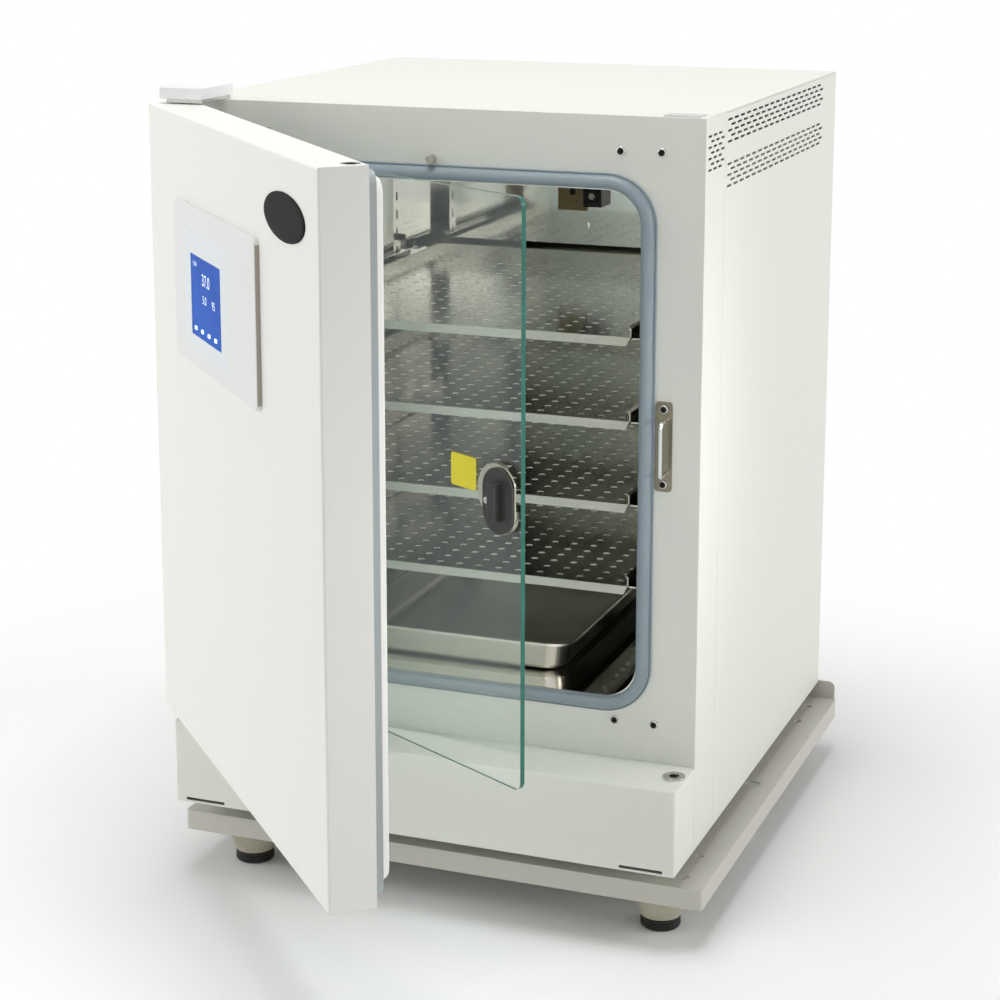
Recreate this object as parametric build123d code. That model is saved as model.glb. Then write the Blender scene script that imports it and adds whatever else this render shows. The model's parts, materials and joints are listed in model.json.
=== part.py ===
from build123d import *
import math
import os

# Laboratory incubator with a heated outer door and an inner glass door.
# Modelled with X = 0 on the cabinet's middle, Y = 0 on its front panel and
# Z = 0 under the cabinet; X runs to the right, Y to the back and Z up.
# The last step moves every piece so that the origin lies on the floor, under
# the middle of the whole part as it stands with its doors ajar.
# All sizes are millimetres.

# Sheet metal and clearances
SHEET = 1.5
LINER_SHEET = 1.2
SEAM = 0.3
RUNNING = 0.3
BEARING = 0.06

# Cabinet
CABINET_WIDTH = 640.0
CABINET_HEIGHT = 860.0
CABINET_DEPTH = 627.0
FRONT_RETURN = 81.0
TOP_LIP = 34.0
PANEL_FLANGE = 9.0

# Ledge under the outer door
LEDGE_DEPTH = 78.0
LEDGE_HEIGHT = 104.0
LEDGE_EDGE_RADIUS = 3.0
LEDGE_SLOT_LENGTH = 52.0
LEDGE_SLOT_HEIGHT = 3.5
LEDGE_SLOT_INSET = 14.0
LEDGE_SLOT_LIFT = 2.5

# Side vents: two blocks of staggered slots and a small block on the front return
VENT_ROWS = 5
VENT_COLUMNS = 17
VENT_ROW_PITCH = 6.3
VENT_COLUMN_PITCH = 27.0
VENT_SLOT_LENGTH = 19.0
VENT_SLOT_HEIGHT = 2.6
VENT_BLOCK_START = 100.0
VENT_UPPER_TOP = 851.0
VENT_LOWER_TOP = 800.0
FRONT_VENT_ROWS = 7
FRONT_VENT_COLUMNS = 3
FRONT_VENT_START = 18.0
FRONT_VENT_PITCH = 20.5
FRONT_VENT_TOP = 840.0
FRONT_VENT_SLOT = 14.0

# Chamber
CHAMBER_WIDTH = 494.0
CHAMBER_HEIGHT = 596.0
CHAMBER_FLOOR = 180.0
CHAMBER_BACK = 526.0
CHAMBER_CORNER = 40.0
LINER_LIP = 1.0
GASKET_WIDTH = 17.5
GASKET_THICKNESS = 12.0
GASKET_ROUNDING = 4.0
HEATER_THICKNESS = 1.0
HEATER_START = 40.0
HEATER_END = 500.0
INSULATION_PANEL_GAP = 10.3
INSULATION_REAR_GAP = 28.3
INSULATION_BOTTOM = 60.0
INSULATION_TOP = 24.0

# Shelves
SHELF_COUNT = 4
SHELF_WALL_GAP = 29.0
SHELF_FRONT = 55.0
SHELF_DEPTH = 440.0
SHELF_LOWEST_TOP = 297.0
SHELF_PITCH = 100.0
SHELF_SHEET = 1.2
SHELF_LIP = 10.5
SHELF_LIP_ANGLE_RUN = 5.0
SHELF_SIDE_UPSTAND = 12.0
SHELF_BACK_UPSTAND = 20.0
SUPPORT_LEG = 27.0
SUPPORT_UPSTAND = 16.0
SUPPORT_SETBACK = 4.0
STANDARD_THICKNESS = 15.0
STANDARD_WIDTH = 24.0
STANDARD_BOTTOM = 222.0
STANDARD_TOP = 720.0
STANDARD_SETBACK = 70.0
STANDARD_SLOT_PITCH = 25.0
STANDARD_SLOT_LENGTH = 12.0
STANDARD_SLOT_WIDTH = 5.0

# Water pan on the chamber floor
PAN_WIDTH = 286.0
PAN_DEPTH = 420.0
PAN_HEIGHT = 38.0
PAN_FRONT = 45.0
PAN_CORNER = 28.0
PAN_WALL = 1.2
PAN_RIM = 7.0
PAN_TAPER = 6.0

# Fan under the chamber ceiling
FAN_Y = 400.0
FAN_RADIUS = 52.0
FAN_BLADES = 10
FAN_BLADE_HEIGHT = 20.0
FAN_BLADE_THICKNESS = 1.5
FAN_SHAFT_RADIUS = 4.0
FAN_SHAFT_HOLE = 6.0
FAN_CEILING_GAP = 8.0
FAN_HUB_RADIUS = 12.0
SHROUD_SIZE = 190.0
SHROUD_DEPTH = 38.0
SHROUD_INLET_RADIUS = 42.0
SHROUD_SLOTS = 6
SHROUD_SLOT_LENGTH = 16.0
SHROUD_SLOT_HEIGHT = 14.0
MOTOR_RADIUS = 36.0
MOTOR_HEIGHT = 44.0
MOTOR_BORE_DEPTH = 24.0

# Sensors on the back wall
SENSOR_PLATE_WIDTH = 42.0
SENSOR_PLATE_HEIGHT = 50.0
SENSOR_PLATE_THICKNESS = 3.0
SENSOR_PLATE_BOTTOM = 669.0
SENSOR_PLATE_LEFT = -37.0
SENSOR_BLOCK_WIDTH = 26.0
SENSOR_BLOCK_HEIGHT = 30.0
SENSOR_BLOCK_DEPTH = 20.0
SENSOR_BLOCK_LIFT = 8.0
SENSOR_RING_RADIUS = 9.0
SENSOR_RING_DEPTH = 4.0
SENSOR_TIP_RADIUS = 5.0
BACK_PLUG_RADIUS = 7.0
BACK_PLUG_HEIGHT = 648.0
BACK_PLUG_DEPTH = 3.0

# Outer door, given closed
DOOR_OVERHANG = 5.0
DOOR_FACE = 75.0
DOOR_SHELL_DEPTH = 51.0
DOOR_LEDGE_GAP = 8.0
DOOR_TOP_GAP = 1.0
DOOR_WALL = 1.5
DOOR_EDGE_RADIUS = 3.0
DOOR_REST_ANGLE = 47.0
PIVOT_INSET = 14.0
PIVOT_SETBACK = 36.0
HINGE_PIN_RADIUS = 6.0
BUSH_RADIUS = 10.0
BUSH_LENGTH = 18.0
RING_INSET = 8.0
RING_WIDTH = 34.0
RING_RISE = 9.0
DISH_BOTTOM = 49.0
DISH_WALL = 1.5
DISH_CORNER = 24.0
SEAL_CORNER = 12.0
SEAL_SIDE_INSET = 20.0
SEAL_END_INSET = 12.0
SEAL_WIDTH = 16.0
SEAL_GAP = 0.5
SEAL_ROUNDING = 5.0

# Hinge hardware on the cabinet's corners
HINGE_PLATE_RADIUS = 13.0
HINGE_PLATE_THICKNESS = 2.5
HINGE_HUB_RADIUS = 8.0
HINGE_HUB_DEPTH = 10.0
HINGE_PIN_LENGTH = 16.0
SOCKET_SCREW_CIRCLE = 10.6
SOCKET_SCREW_RADIUS = 1.2
SOCKET_SCREWS = 6
BRACKET_LEFT = 1.0
BRACKET_WIDTH = 47.0
BRACKET_FRONT = 56.0
BRACKET_BACK = 16.0
BRACKET_THICKNESS = 5.0
CAP_OVERHANG = 5.0
CAP_WIDTH = 55.0
CAP_FRONT = 62.0
CAP_BACK = 19.0
CAP_HEIGHT = 19.0
CAP_WALL = 2.0
CAP_CHAMFER = 6.0
BLANK_PLATE_WIDTH = 42.0
BLANK_PLATE_DEPTH = 26.0
BLANK_PLATE_THICKNESS = 1.5
BLANK_PLATE_INSET = 9.0
BLANK_PLATE_FRONT = 6.0

# Display on the outer door's face, placed from the door's hinge-side edge
BEZEL_LEFT = 126.0
BEZEL_WIDTH = 326.0
BEZEL_BOTTOM = 582.0
BEZEL_HEIGHT = 181.0
BEZEL_THICKNESS = 5.5
BEZEL_CORNER = 9.0
BEZEL_CHAMFER = 1.5
WINDOW_LEFT = 171.0
WINDOW_WIDTH = 179.0
WINDOW_BOTTOM = 602.0
WINDOW_HEIGHT = 133.5
WINDOW_THICKNESS = 2.0
WINDOW_CORNER = 3.0
SCREEN_LEFT = 198.0
SCREEN_WIDTH = 122.0
SCREEN_BOTTOM = 619.0
SCREEN_HEIGHT = 91.5
SCREEN_THICKNESS = 1.4
BADGE_CENTRE = 543.0
BADGE_CENTRE_HEIGHT = 797.5
BADGE_WIDTH = 135.0
BADGE_HEIGHT = 49.0
BADGE_THICKNESS = 2.0

# Inner glass door, given closed
GLASS_WIDTH = 533.0
GLASS_HEIGHT = 640.0
GLASS_THICKNESS = 6.0
GLASS_LEFT_INSET = 61.0
GLASS_BOTTOM = 164.0
GLASS_GAP = 0.5
GLASS_CORNER = 10.0
GLASS_REST_ANGLE = 28.9
FITTING_LENGTH = 21.0
FITTING_OVERHANG = 5.0
FITTING_HEIGHT = 16.0
FITTING_BEYOND = 4.0
FITTING_WALL = 3.0
GLASS_NOTCH_WIDTH = 8.0
GLASS_NOTCH_HEIGHT = 14.0
GLASS_PIN_RADIUS = 2.5
GLASS_PIN_LENGTH = 12.0
GLASS_BRACKET_WIDTH = 68.0
GLASS_BRACKET_LEFT = 40.0
GLASS_BRACKET_HEIGHT = 18.0
GLASS_BRACKET_THICKNESS = 3.0
GLASS_BRACKET_ARM = 22.0
GLASS_BRACKET_ARM_WIDTH = 14.0
GLASS_BRACKET_ARM_HEIGHT = 3.5

# Latch on the glass door's free edge
LATCH_FROM_EDGE = 28.0
LATCH_HEIGHT = 481.0
HOUSING_EDGE = 3.0
HOUSING_WIDTH = 50.0
HOUSING_HEIGHT = 74.0
HOUSING_DEPTH = 8.0
HOUSING_WALL = 2.0
ROSE_RADIUS = 34.0
ROSE_SHIFT = 6.0
ROSE_LIFT = 7.0
KNOB_WIDTH = 47.0
KNOB_HEIGHT = 68.0
KNOB_DEPTH = 11.0
KNOB_CHAMFER = 2.0
GRIP_WIDTH = 17.0
GRIP_HEIGHT = 43.0
GRIP_DEPTH = 6.0
LATCH_SHAFT_RADIUS = 5.0
TONGUE_WIDTH = 14.0
TONGUE_THICKNESS = 3.0
TONGUE_REACH = 36.0

# Strike on the front panel
STRIKE_WIDTH = 20.0
STRIKE_HEIGHT = 105.0
STRIKE_THICKNESS = 2.0
STRIKE_INSET = 33.0
STRIKE_CENTRE_HEIGHT = 485.5
STRIKE_BAR_RADIUS = 2.5
STRIKE_BAR_LENGTH = 68.0
STRIKE_BAR_STANDOFF = 25.5
STRIKE_BAR_INSET = 7.0
STRIKE_HOLLOW_WIDTH = 6.0
STRIKE_HOLLOW_HEIGHT = 60.0

# Screws on the front panel
SCREW_HEAD_RADIUS = 5.0
SCREW_HEAD_HEIGHT = 2.6
SCREW_HEAD_CHAMFER = 0.9
SCREW_SOCKET_RADIUS = 2.4
SCREW_SOCKET_DEPTH = 1.6
HINGE_SCREW_OUTER = 50.0
HINGE_SCREW_INNER = 98.0
HINGE_SCREW_TOP = 820.5
HINGE_SCREW_BOTTOM = 151.0
STRIKE_SCREW_OFFSET = 44.0

# Glass door sensor button, in line with the glass's top edge
BUTTON_X = -4.5
BUTTON_RADIUS = 5.0
BUTTON_REACH = 11.7
BUTTON_HEIGHT = 801.5
BUTTON_STEM_END = 13.5
BUTTON_STEM_RADIUS = 2.5
BUTTON_TRAVEL = 3.0
COLLAR_RADIUS = 5.5
COLLAR_LENGTH = 11.5

# Rear of the cabinet
PORT_WALL_GAP = 77.0
PORT_HEIGHT = 240.0
PORT_BORE_RADIUS = 21.0
PORT_WALL = 2.5
PORT_FLANGE_RADIUS = 30.0
PORT_FLANGE_THICKNESS = 3.0
STOPPER_HEAD_RADIUS = 26.0
STOPPER_HEAD_THICKNESS = 9.0
STOPPER_SLACK = 0.3
STOPPER_GRIP_LENGTH = 60.0
GAS_X = 60.0
GAS_HEIGHT = 700.0
GAS_BARB_RADIUS = 4.0
GAS_BARB_LENGTH = 25.0
GAS_FLANGE_RADIUS = 11.0
GAS_FLANGE_THICKNESS = 6.0
GAS_BORE_RADIUS = 2.0
INLET_X = -240.0
INLET_HEIGHT = 800.0
INLET_WIDTH = 48.0
INLET_TALL = 28.0
INLET_DEPTH = 26.0
INLET_LIP = 4.0
INLET_FLANGE = 4.0
INLET_CAVITY_WIDTH = 27.0
INLET_CAVITY_TALL = 19.0
INLET_CAVITY_DEPTH = 18.0
INLET_CAVITY_CORNER = 3.0
INLET_PIN_WIDTH = 2.0
INLET_PIN_TALL = 6.0
INLET_PIN_LENGTH = 14.0
INLET_PIN_PITCH = 7.0
ROCKER_X = -180.0
ROCKER_WIDTH = 15.0
ROCKER_TALL = 22.0
ROCKER_THICKNESS = 5.0
ROCKER_DEPTH = 3.0
ROCKER_REST_TILT = 8.0
ROCKER_FRAME_WALL = 3.0
ROCKER_FRAME_LIP = 2.0
ROCKER_FRAME_DEPTH = 14.0
ROCKER_AXLE_RADIUS = 1.5

# Electronics bay above the chamber
BOARD_LENGTH = 200.0
BOARD_WIDTH = 130.0
BOARD_THICKNESS = 1.6
BOARD_STANDOFF = 8.0
BOARD_HOLE_INSET = 13.0
STANDOFF_RADIUS = 3.0
CHIP_SIZE = 25.0
CHIP_HEIGHT = 3.0
RELAY_LENGTH = 40.0
RELAY_WIDTH = 30.0
RELAY_HEIGHT = 12.0
TERMINAL_LENGTH = 70.0
TERMINAL_WIDTH = 20.0
BOARD_X = 170.0
BOARD_Y = 200.0
SUPPLY_LENGTH = 150.0
SUPPLY_WIDTH = 90.0
SUPPLY_HEIGHT = 38.0
SUPPLY_X = -190.0
SUPPLY_Y = 250.0
SUPPLY_SLOTS = 6
SUPPLY_SLOT_PITCH = 12.0
SUPPLY_SLOT_WIDTH = 5.0
SUPPLY_SLOT_LENGTH = 110.0
SUPPLY_SLOT_DEPTH = 3.0

# Base tray with its levelling feet
TRAY_WIDTH = 668.0
TRAY_OFFSET = 11.5
TRAY_DROP = 24.0
TRAY_FRONT = 50.0
TRAY_HEIGHT = 25.0
TRAY_SHEET = 2.0
TRAY_CORNER = 4.0
TRAY_TAB_HEIGHT = 25.0
TRAY_TAB_CORNER = 9.0
TRAY_BACK_GAP = 2.0
TRAY_HOLE_INSET = 29.0
TRAY_HOLE_RADIUS = 4.5
TRAY_PORT_RADIUS = 10.0
TRAY_HOLE_FRONT = 18.5
TRAY_HOLE_SPACING = 62.0
TRAY_HOLE_SPAN = 545.0
CABINET_FOOT_RADIUS = 18.0
CABINET_FOOT_INSET = 75.0
CUP_INSET_X = 66.0
CUP_INSET_Y = 57.0
CUP_RADIUS = 32.5
CUP_LOWER_RADIUS = 24.5
CUP_HEIGHT = 36.0
CUP_STRAIGHT = 12.0
CUP_SLOT_LENGTH = 26.0
CUP_SLOT_HEIGHT = 4.0
CUP_SLOT_DEPTH = 8.0
CUP_SLOT_RIGHT = 4.0
CUP_ROOF = 3.0
FOOT_RADIUS = 24.0
FOOT_THICKNESS = 15.0
FOOT_STUD_RADIUS = 6.0
FOOT_ROUNDING = 2.0

# Values worked out from the sizes above
HALF_WIDTH = CABINET_WIDTH / 2
CHAMBER_TOP = CHAMBER_FLOOR + CHAMBER_HEIGHT
CHAMBER_MID = CHAMBER_FLOOR + CHAMBER_HEIGHT / 2
LINER_HALF = CHAMBER_WIDTH / 2 + LINER_SHEET
SHELF_WIDTH = CHAMBER_WIDTH - 2 * SHELF_WALL_GAP
PORT_X = PORT_WALL_GAP - CHAMBER_WIDTH / 2
PANEL_INSIDE = HALF_WIDTH - SHEET
BAY_FLOOR = CHAMBER_TOP + LINER_SHEET + INSULATION_TOP
PIVOT_X = PIVOT_INSET - HALF_WIDTH
DOOR_LEFT = -HALF_WIDTH - DOOR_OVERHANG
DOOR_WIDTH = CABINET_WIDTH + 2 * DOOR_OVERHANG
DOOR_BOTTOM = LEDGE_HEIGHT + DOOR_LEDGE_GAP
DOOR_TOP = CABINET_HEIGHT - DOOR_TOP_GAP
DOOR_HEIGHT = DOOR_TOP - DOOR_BOTTOM
DOOR_MID = (DOOR_TOP + DOOR_BOTTOM) / 2
DOOR_BACK = DOOR_FACE - DOOR_SHELL_DEPTH
GLASS_BACK = GASKET_THICKNESS + GLASS_GAP
GLASS_FRONT = GLASS_BACK + GLASS_THICKNESS
GLASS_LEFT = GLASS_LEFT_INSET - HALF_WIDTH
GLASS_RIGHT = GLASS_LEFT + GLASS_WIDTH
GLASS_TOP = GLASS_BOTTOM + GLASS_HEIGHT
GLASS_PIVOT_Y = GLASS_BACK + GLASS_THICKNESS / 2
LATCH_X = GLASS_RIGHT - LATCH_FROM_EDGE
STRIKE_X = HALF_WIDTH - STRIKE_INSET - STRIKE_WIDTH / 2
TRAY_TOP = -TRAY_DROP
TRAY_BOTTOM = TRAY_TOP - TRAY_HEIGHT
TRAY_BACK = CABINET_DEPTH + TRAY_BACK_GAP
FLOOR = TRAY_BOTTOM - CUP_HEIGHT - FOOT_THICKNESS


def block(x0, x1, y0, y1, z0, z1):
    """A box between six planes."""
    middle = Pos((x0 + x1) / 2, (y0 + y1) / 2, (z0 + z1) / 2)
    return middle * Box(abs(x1 - x0), abs(y1 - y0), abs(z1 - z0))


def along_x(sketch, x0, x1):
    """A sketch drawn as (Y, Z), carried from x0 to x1."""
    return extrude(Plane.YZ.offset(x0) * sketch, x1 - x0)


def along_y(sketch, y0, y1):
    """A sketch drawn as (X, Z), carried from y0 to y1."""
    return extrude(Plane.XZ.offset(-y1) * sketch, y1 - y0)


def along_z(sketch, z0, z1):
    """A sketch drawn as (X, Y), carried from z0 to z1."""
    return extrude(Plane.XY.offset(z0) * sketch, z1 - z0)


def disc(x, y, radius, z0, z1):
    """An upright cylinder."""
    return along_z(Pos(x, y) * Circle(radius), z0, z1)


def rod(x, z, radius, y0, y1):
    """A cylinder that runs from front to back."""
    return along_y(Pos(x, z) * Circle(radius), y0, y1)


def rounded(x, z, width, height, radius):
    """A rounded rectangle in the front view."""
    return Pos(x, z) * RectangleRounded(width, height, radius)


def swung(shape, x, y, angle):
    """A closed door's piece, opened about the upright axis at x, y."""
    return Pos(x, y, 0) * Rot(0, 0, -angle) * Pos(-x, -y, 0) * shape


def swung_point(px, py, x, y, angle):
    """Where a closed door's point goes when the door is opened."""
    turn = math.radians(angle)
    dx, dy = px - x, py - y
    across = x + dx * math.cos(turn) + dy * math.sin(turn)
    deep = y - dx * math.sin(turn) + dy * math.cos(turn)
    return across, deep


def vent_slots(x0, x1, start, top, rows, columns, pitch, length):
    """Staggered slots cut through a side wall, as a list of boxes."""
    slots = []
    for row in range(rows):
        shift = pitch / 2 if row % 2 else 0.0
        z = top - row * VENT_ROW_PITCH
        for column in range(columns):
            y = start + shift + column * pitch
            slots.append(block(x0, x1, y - length / 2, y + length / 2, z - VENT_SLOT_HEIGHT, z))
    return slots


def chamber_outline(grow):
    """The chamber's outline in the front view, widened by grow on every side."""
    return rounded(0, CHAMBER_MID, CHAMBER_WIDTH + 2 * grow, CHAMBER_HEIGHT + 2 * grow, CHAMBER_CORNER + grow)


def front_panel():
    """Front sheet with the chamber opening, side returns and a top lip."""
    skin = block(-HALF_WIDTH, HALF_WIDTH, 0, SHEET, 0, CABINET_HEIGHT)
    skin -= along_y(chamber_outline(LINER_SHEET + SEAM), -1, SHEET + 1)
    skin += rod(BUTTON_X, BUTTON_HEIGHT, COLLAR_RADIUS, SHEET, COLLAR_LENGTH)
    skin -= rod(BUTTON_X, BUTTON_HEIGHT, BUTTON_STEM_RADIUS + BEARING, -1, COLLAR_LENGTH + 1)
    skin += block(-HALF_WIDTH, HALF_WIDTH, 0, TOP_LIP, CABINET_HEIGHT - SHEET, CABINET_HEIGHT)
    for side in (-1, 1):
        outer, inner = side * HALF_WIDTH, side * PANEL_INSIDE
        skin += block(outer, inner, 0, FRONT_RETURN, 0, CABINET_HEIGHT)
        skin -= vent_slots(outer - 2 * side * SHEET, outer + side, FRONT_VENT_START, FRONT_VENT_TOP,
                           FRONT_VENT_ROWS, FRONT_VENT_COLUMNS, FRONT_VENT_PITCH, FRONT_VENT_SLOT)
    return skin


def side_panel(side):
    """Side sheet behind the front return, flanged inwards, with its vents."""
    outer, inner = side * HALF_WIDTH, side * PANEL_INSIDE
    y0, y1 = FRONT_RETURN + SEAM, CABINET_DEPTH
    top = CABINET_HEIGHT - SHEET - SEAM
    flange = side * (PANEL_INSIDE - PANEL_FLANGE)
    panel = block(outer, inner, y0, y1, 0, top)
    panel += block(inner, flange, y0, y0 + SHEET, SHEET + SEAM, top)
    for block_top in (VENT_UPPER_TOP, VENT_LOWER_TOP):
        panel -= vent_slots(outer - 2 * side * SHEET, outer + side, VENT_BLOCK_START, block_top,
                            VENT_ROWS, VENT_COLUMNS, VENT_COLUMN_PITCH, VENT_SLOT_LENGTH)
    return panel


def top_panel():
    """Top sheet behind the front panel's lip."""
    low, high = CABINET_HEIGHT - SHEET, CABINET_HEIGHT
    narrow = PANEL_INSIDE - SEAM
    panel = block(-HALF_WIDTH, HALF_WIDTH, FRONT_RETURN + SEAM, CABINET_DEPTH, low, high)
    return panel + block(-narrow, narrow, TOP_LIP + SEAM, FRONT_RETURN + SEAM, low, high)


def rear_panel():
    """Rear sheet with holes for the access port, gas inlet, mains inlet and switch."""
    half = PANEL_INSIDE - SEAM
    back = CABINET_DEPTH
    panel = block(-half, half, back - SHEET, back, 0, CABINET_HEIGHT - SHEET - SEAM)
    panel -= rod(PORT_X, PORT_HEIGHT, PORT_BORE_RADIUS + PORT_WALL + SEAM, back - 2 * SHEET, back + 1)
    panel -= rod(GAS_X, GAS_HEIGHT, GAS_BARB_RADIUS + SEAM, back - 2 * SHEET, back + 1)
    inlet = Pos(INLET_X, INLET_HEIGHT) * Rectangle(INLET_WIDTH + 2 * SEAM, INLET_TALL + 2 * SEAM)
    panel -= along_y(inlet, back - 2 * SHEET, back + 1)
    panel -= along_y(rocker_outline(ROCKER_FRAME_WALL + SEAM + RUNNING), back - 2 * SHEET, back + 1)
    return panel


def bottom_panel():
    """Bottom sheet, inside the four upright sheets."""
    half = PANEL_INSIDE - SEAM
    return block(-half, half, SHEET + SEAM, CABINET_DEPTH - SHEET - SEAM, 0, SHEET)


def ledge_cover():
    """Cover of the ledge under the outer door, open towards the cabinet."""
    outer = block(-HALF_WIDTH, HALF_WIDTH, -LEDGE_DEPTH, -SEAM, 0, LEDGE_HEIGHT)
    front_edges = outer.edges().filter_by(
        lambda e: abs(e.center().Y + LEDGE_DEPTH) < 0.01 and e.center().Z > 1)
    cover = fillet(front_edges, LEDGE_EDGE_RADIUS)
    cover -= block(-PANEL_INSIDE, PANEL_INSIDE, SHEET - LEDGE_DEPTH, 0, SHEET, LEDGE_HEIGHT - SHEET)
    for side in (-1, 1):
        near = side * (HALF_WIDTH - LEDGE_SLOT_INSET)
        far = side * (HALF_WIDTH - LEDGE_SLOT_INSET - LEDGE_SLOT_LENGTH)
        cover -= block(near, far, -LEDGE_DEPTH - 1, SHEET - LEDGE_DEPTH + 1,
                       LEDGE_SLOT_LIFT, LEDGE_SLOT_LIFT + LEDGE_SLOT_HEIGHT)
        cover -= disc(side * PIVOT_X, -PIVOT_SETBACK, HINGE_HUB_RADIUS + SEAM,
                      LEDGE_HEIGHT - 2 * SHEET, LEDGE_HEIGHT + 1)
    return cover


def hinge_disc(side):
    """Round plate with a hub, seated in the ledge's top."""
    x = side * abs(PIVOT_X)
    plate = disc(x, -PIVOT_SETBACK, HINGE_PLATE_RADIUS, LEDGE_HEIGHT, LEDGE_HEIGHT + HINGE_PLATE_THICKNESS)
    return plate + disc(x, -PIVOT_SETBACK, HINGE_HUB_RADIUS, LEDGE_HEIGHT - HINGE_HUB_DEPTH, LEDGE_HEIGHT)


def lower_hinge_plate():
    """Hinge plate with the pin that carries the outer door."""
    top = LEDGE_HEIGHT + HINGE_PLATE_THICKNESS
    pin_top = DOOR_BOTTOM + HINGE_PIN_LENGTH
    return hinge_disc(-1) + disc(PIVOT_X, -PIVOT_SETBACK, HINGE_PIN_RADIUS, top, pin_top)


def spare_hinge_fittings():
    """Socket and cover plate for hanging the outer door on the other side."""
    return Compound([spare_hinge_socket(), blank_hinge_plate()])


def spare_hinge_socket():
    """Empty socket in the ledge."""
    x, y = abs(PIVOT_X), -PIVOT_SETBACK
    high = LEDGE_HEIGHT + HINGE_PLATE_THICKNESS + 1
    socket = hinge_disc(1) - disc(x, y, HINGE_PIN_RADIUS, LEDGE_HEIGHT - HINGE_HUB_DEPTH - 1, high)
    for place in PolarLocations(SOCKET_SCREW_CIRCLE, SOCKET_SCREWS):
        cx, cy = place.position.X, place.position.Y
        socket -= disc(x + cx, y + cy, SOCKET_SCREW_RADIUS, LEDGE_HEIGHT - 1, high)
    return socket


def blank_hinge_plate():
    """Cover plate over the spare hinge place on the cabinet's top."""
    right = HALF_WIDTH - BLANK_PLATE_INSET
    return block(right - BLANK_PLATE_WIDTH, right, BLANK_PLATE_FRONT, BLANK_PLATE_FRONT + BLANK_PLATE_DEPTH,
                 CABINET_HEIGHT, CABINET_HEIGHT + BLANK_PLATE_THICKNESS)


def upper_hinge_bracket():
    """Plate on the cabinet's top with the pin that guides the outer door."""
    left = BRACKET_LEFT - HALF_WIDTH
    plate = block(left, left + BRACKET_WIDTH, -BRACKET_FRONT, BRACKET_BACK,
                  CABINET_HEIGHT, CABINET_HEIGHT + BRACKET_THICKNESS)
    pin_bottom = DOOR_TOP - HINGE_PIN_LENGTH
    return plate + disc(PIVOT_X, -PIVOT_SETBACK, HINGE_PIN_RADIUS, pin_bottom, CABINET_HEIGHT)


def hinge_cap():
    """Moulded cap over the upper hinge, hollow and open below."""
    left = -HALF_WIDTH - CAP_OVERHANG
    low = CABINET_HEIGHT + BRACKET_THICKNESS
    outer = block(left, left + CAP_WIDTH, -CAP_FRONT, CAP_BACK, low, low + CAP_HEIGHT)
    outer = chamfer(outer.faces().sort_by(Axis.Z)[-1].edges(), CAP_CHAMFER)
    hollow = block(left + CAP_WALL, left + CAP_WIDTH - CAP_WALL, CAP_WALL - CAP_FRONT, CAP_BACK - CAP_WALL,
                   low - 1, low + CAP_HEIGHT - CAP_CHAMFER - CAP_WALL)
    return outer - hollow


def chamber_liner():
    """Drawn stainless tub with a flat back wall."""
    liner = along_y(chamber_outline(LINER_SHEET), -LINER_LIP, CHAMBER_BACK + LINER_SHEET)
    liner -= along_y(chamber_outline(0), -LINER_LIP - 1, CHAMBER_BACK)
    liner -= disc(0, FAN_Y, FAN_SHAFT_HOLE, CHAMBER_TOP - 1, CHAMBER_TOP + LINER_SHEET + 1)
    liner -= rod(PORT_X, PORT_HEIGHT, PORT_BORE_RADIUS, CHAMBER_BACK - 1, CHAMBER_BACK + LINER_SHEET + 1)
    liner -= rod(GAS_X, GAS_HEIGHT, GAS_BORE_RADIUS, CHAMBER_BACK - 1, CHAMBER_BACK + LINER_SHEET + 1)
    return liner


def chamber_gasket():
    """Silicone frame that the glass door closes on."""
    inner = LINER_SHEET + SEAM
    ring = chamber_outline(inner + GASKET_WIDTH) - chamber_outline(inner)
    gasket = along_y(ring, -GASKET_THICKNESS, 0)
    return fillet(gasket.faces().sort_by(Axis.Y)[0].edges(), GASKET_ROUNDING)


def heater_mats():
    """Foil heaters on the liner's two sides, floor and ceiling, as four solids."""
    flat_half = CHAMBER_WIDTH / 2 - CHAMBER_CORNER
    low, high = CHAMBER_FLOOR + CHAMBER_CORNER, CHAMBER_TOP - CHAMBER_CORNER
    top = CHAMBER_TOP + LINER_SHEET
    bottom = CHAMBER_FLOOR - LINER_SHEET
    outside = LINER_HALF + HEATER_THICKNESS
    mats = [block(side * LINER_HALF, side * outside, HEATER_START, HEATER_END, low, high) for side in (-1, 1)]
    mats.append(block(-flat_half, flat_half, HEATER_START, HEATER_END, bottom - HEATER_THICKNESS, bottom))
    ceiling = block(-flat_half, flat_half, HEATER_START, HEATER_END, top, top + HEATER_THICKNESS)
    mats.append(ceiling - disc(0, FAN_Y, FAN_HUB_RADIUS, top - 1, top + 2))
    return Compound(mats)


def insulation_jacket():
    """Mineral wool around the liner, with channels for shaft, port and gas pipe."""
    half = PANEL_INSIDE - INSULATION_PANEL_GAP
    bottom = CHAMBER_FLOOR - LINER_SHEET - INSULATION_BOTTOM
    back = CABINET_DEPTH - SHEET - INSULATION_REAR_GAP
    jacket = block(-half, half, SHEET + SEAM, back, bottom, BAY_FLOOR)
    jacket -= along_y(chamber_outline(LINER_SHEET + HEATER_THICKNESS), 0, CHAMBER_BACK + LINER_SHEET)
    jacket -= disc(0, FAN_Y, FAN_HUB_RADIUS, CHAMBER_TOP, BAY_FLOOR + 1)
    jacket -= rod(PORT_X, PORT_HEIGHT, PORT_BORE_RADIUS + PORT_WALL, CHAMBER_BACK, back + 1)
    jacket -= rod(GAS_X, GAS_HEIGHT, GAS_BARB_RADIUS, CHAMBER_BACK, back + 1)
    return jacket - rod(BUTTON_X, BUTTON_HEIGHT, COLLAR_RADIUS + RUNNING, 0,
                        BUTTON_STEM_END + BUTTON_TRAVEL + RUNNING)


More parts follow.
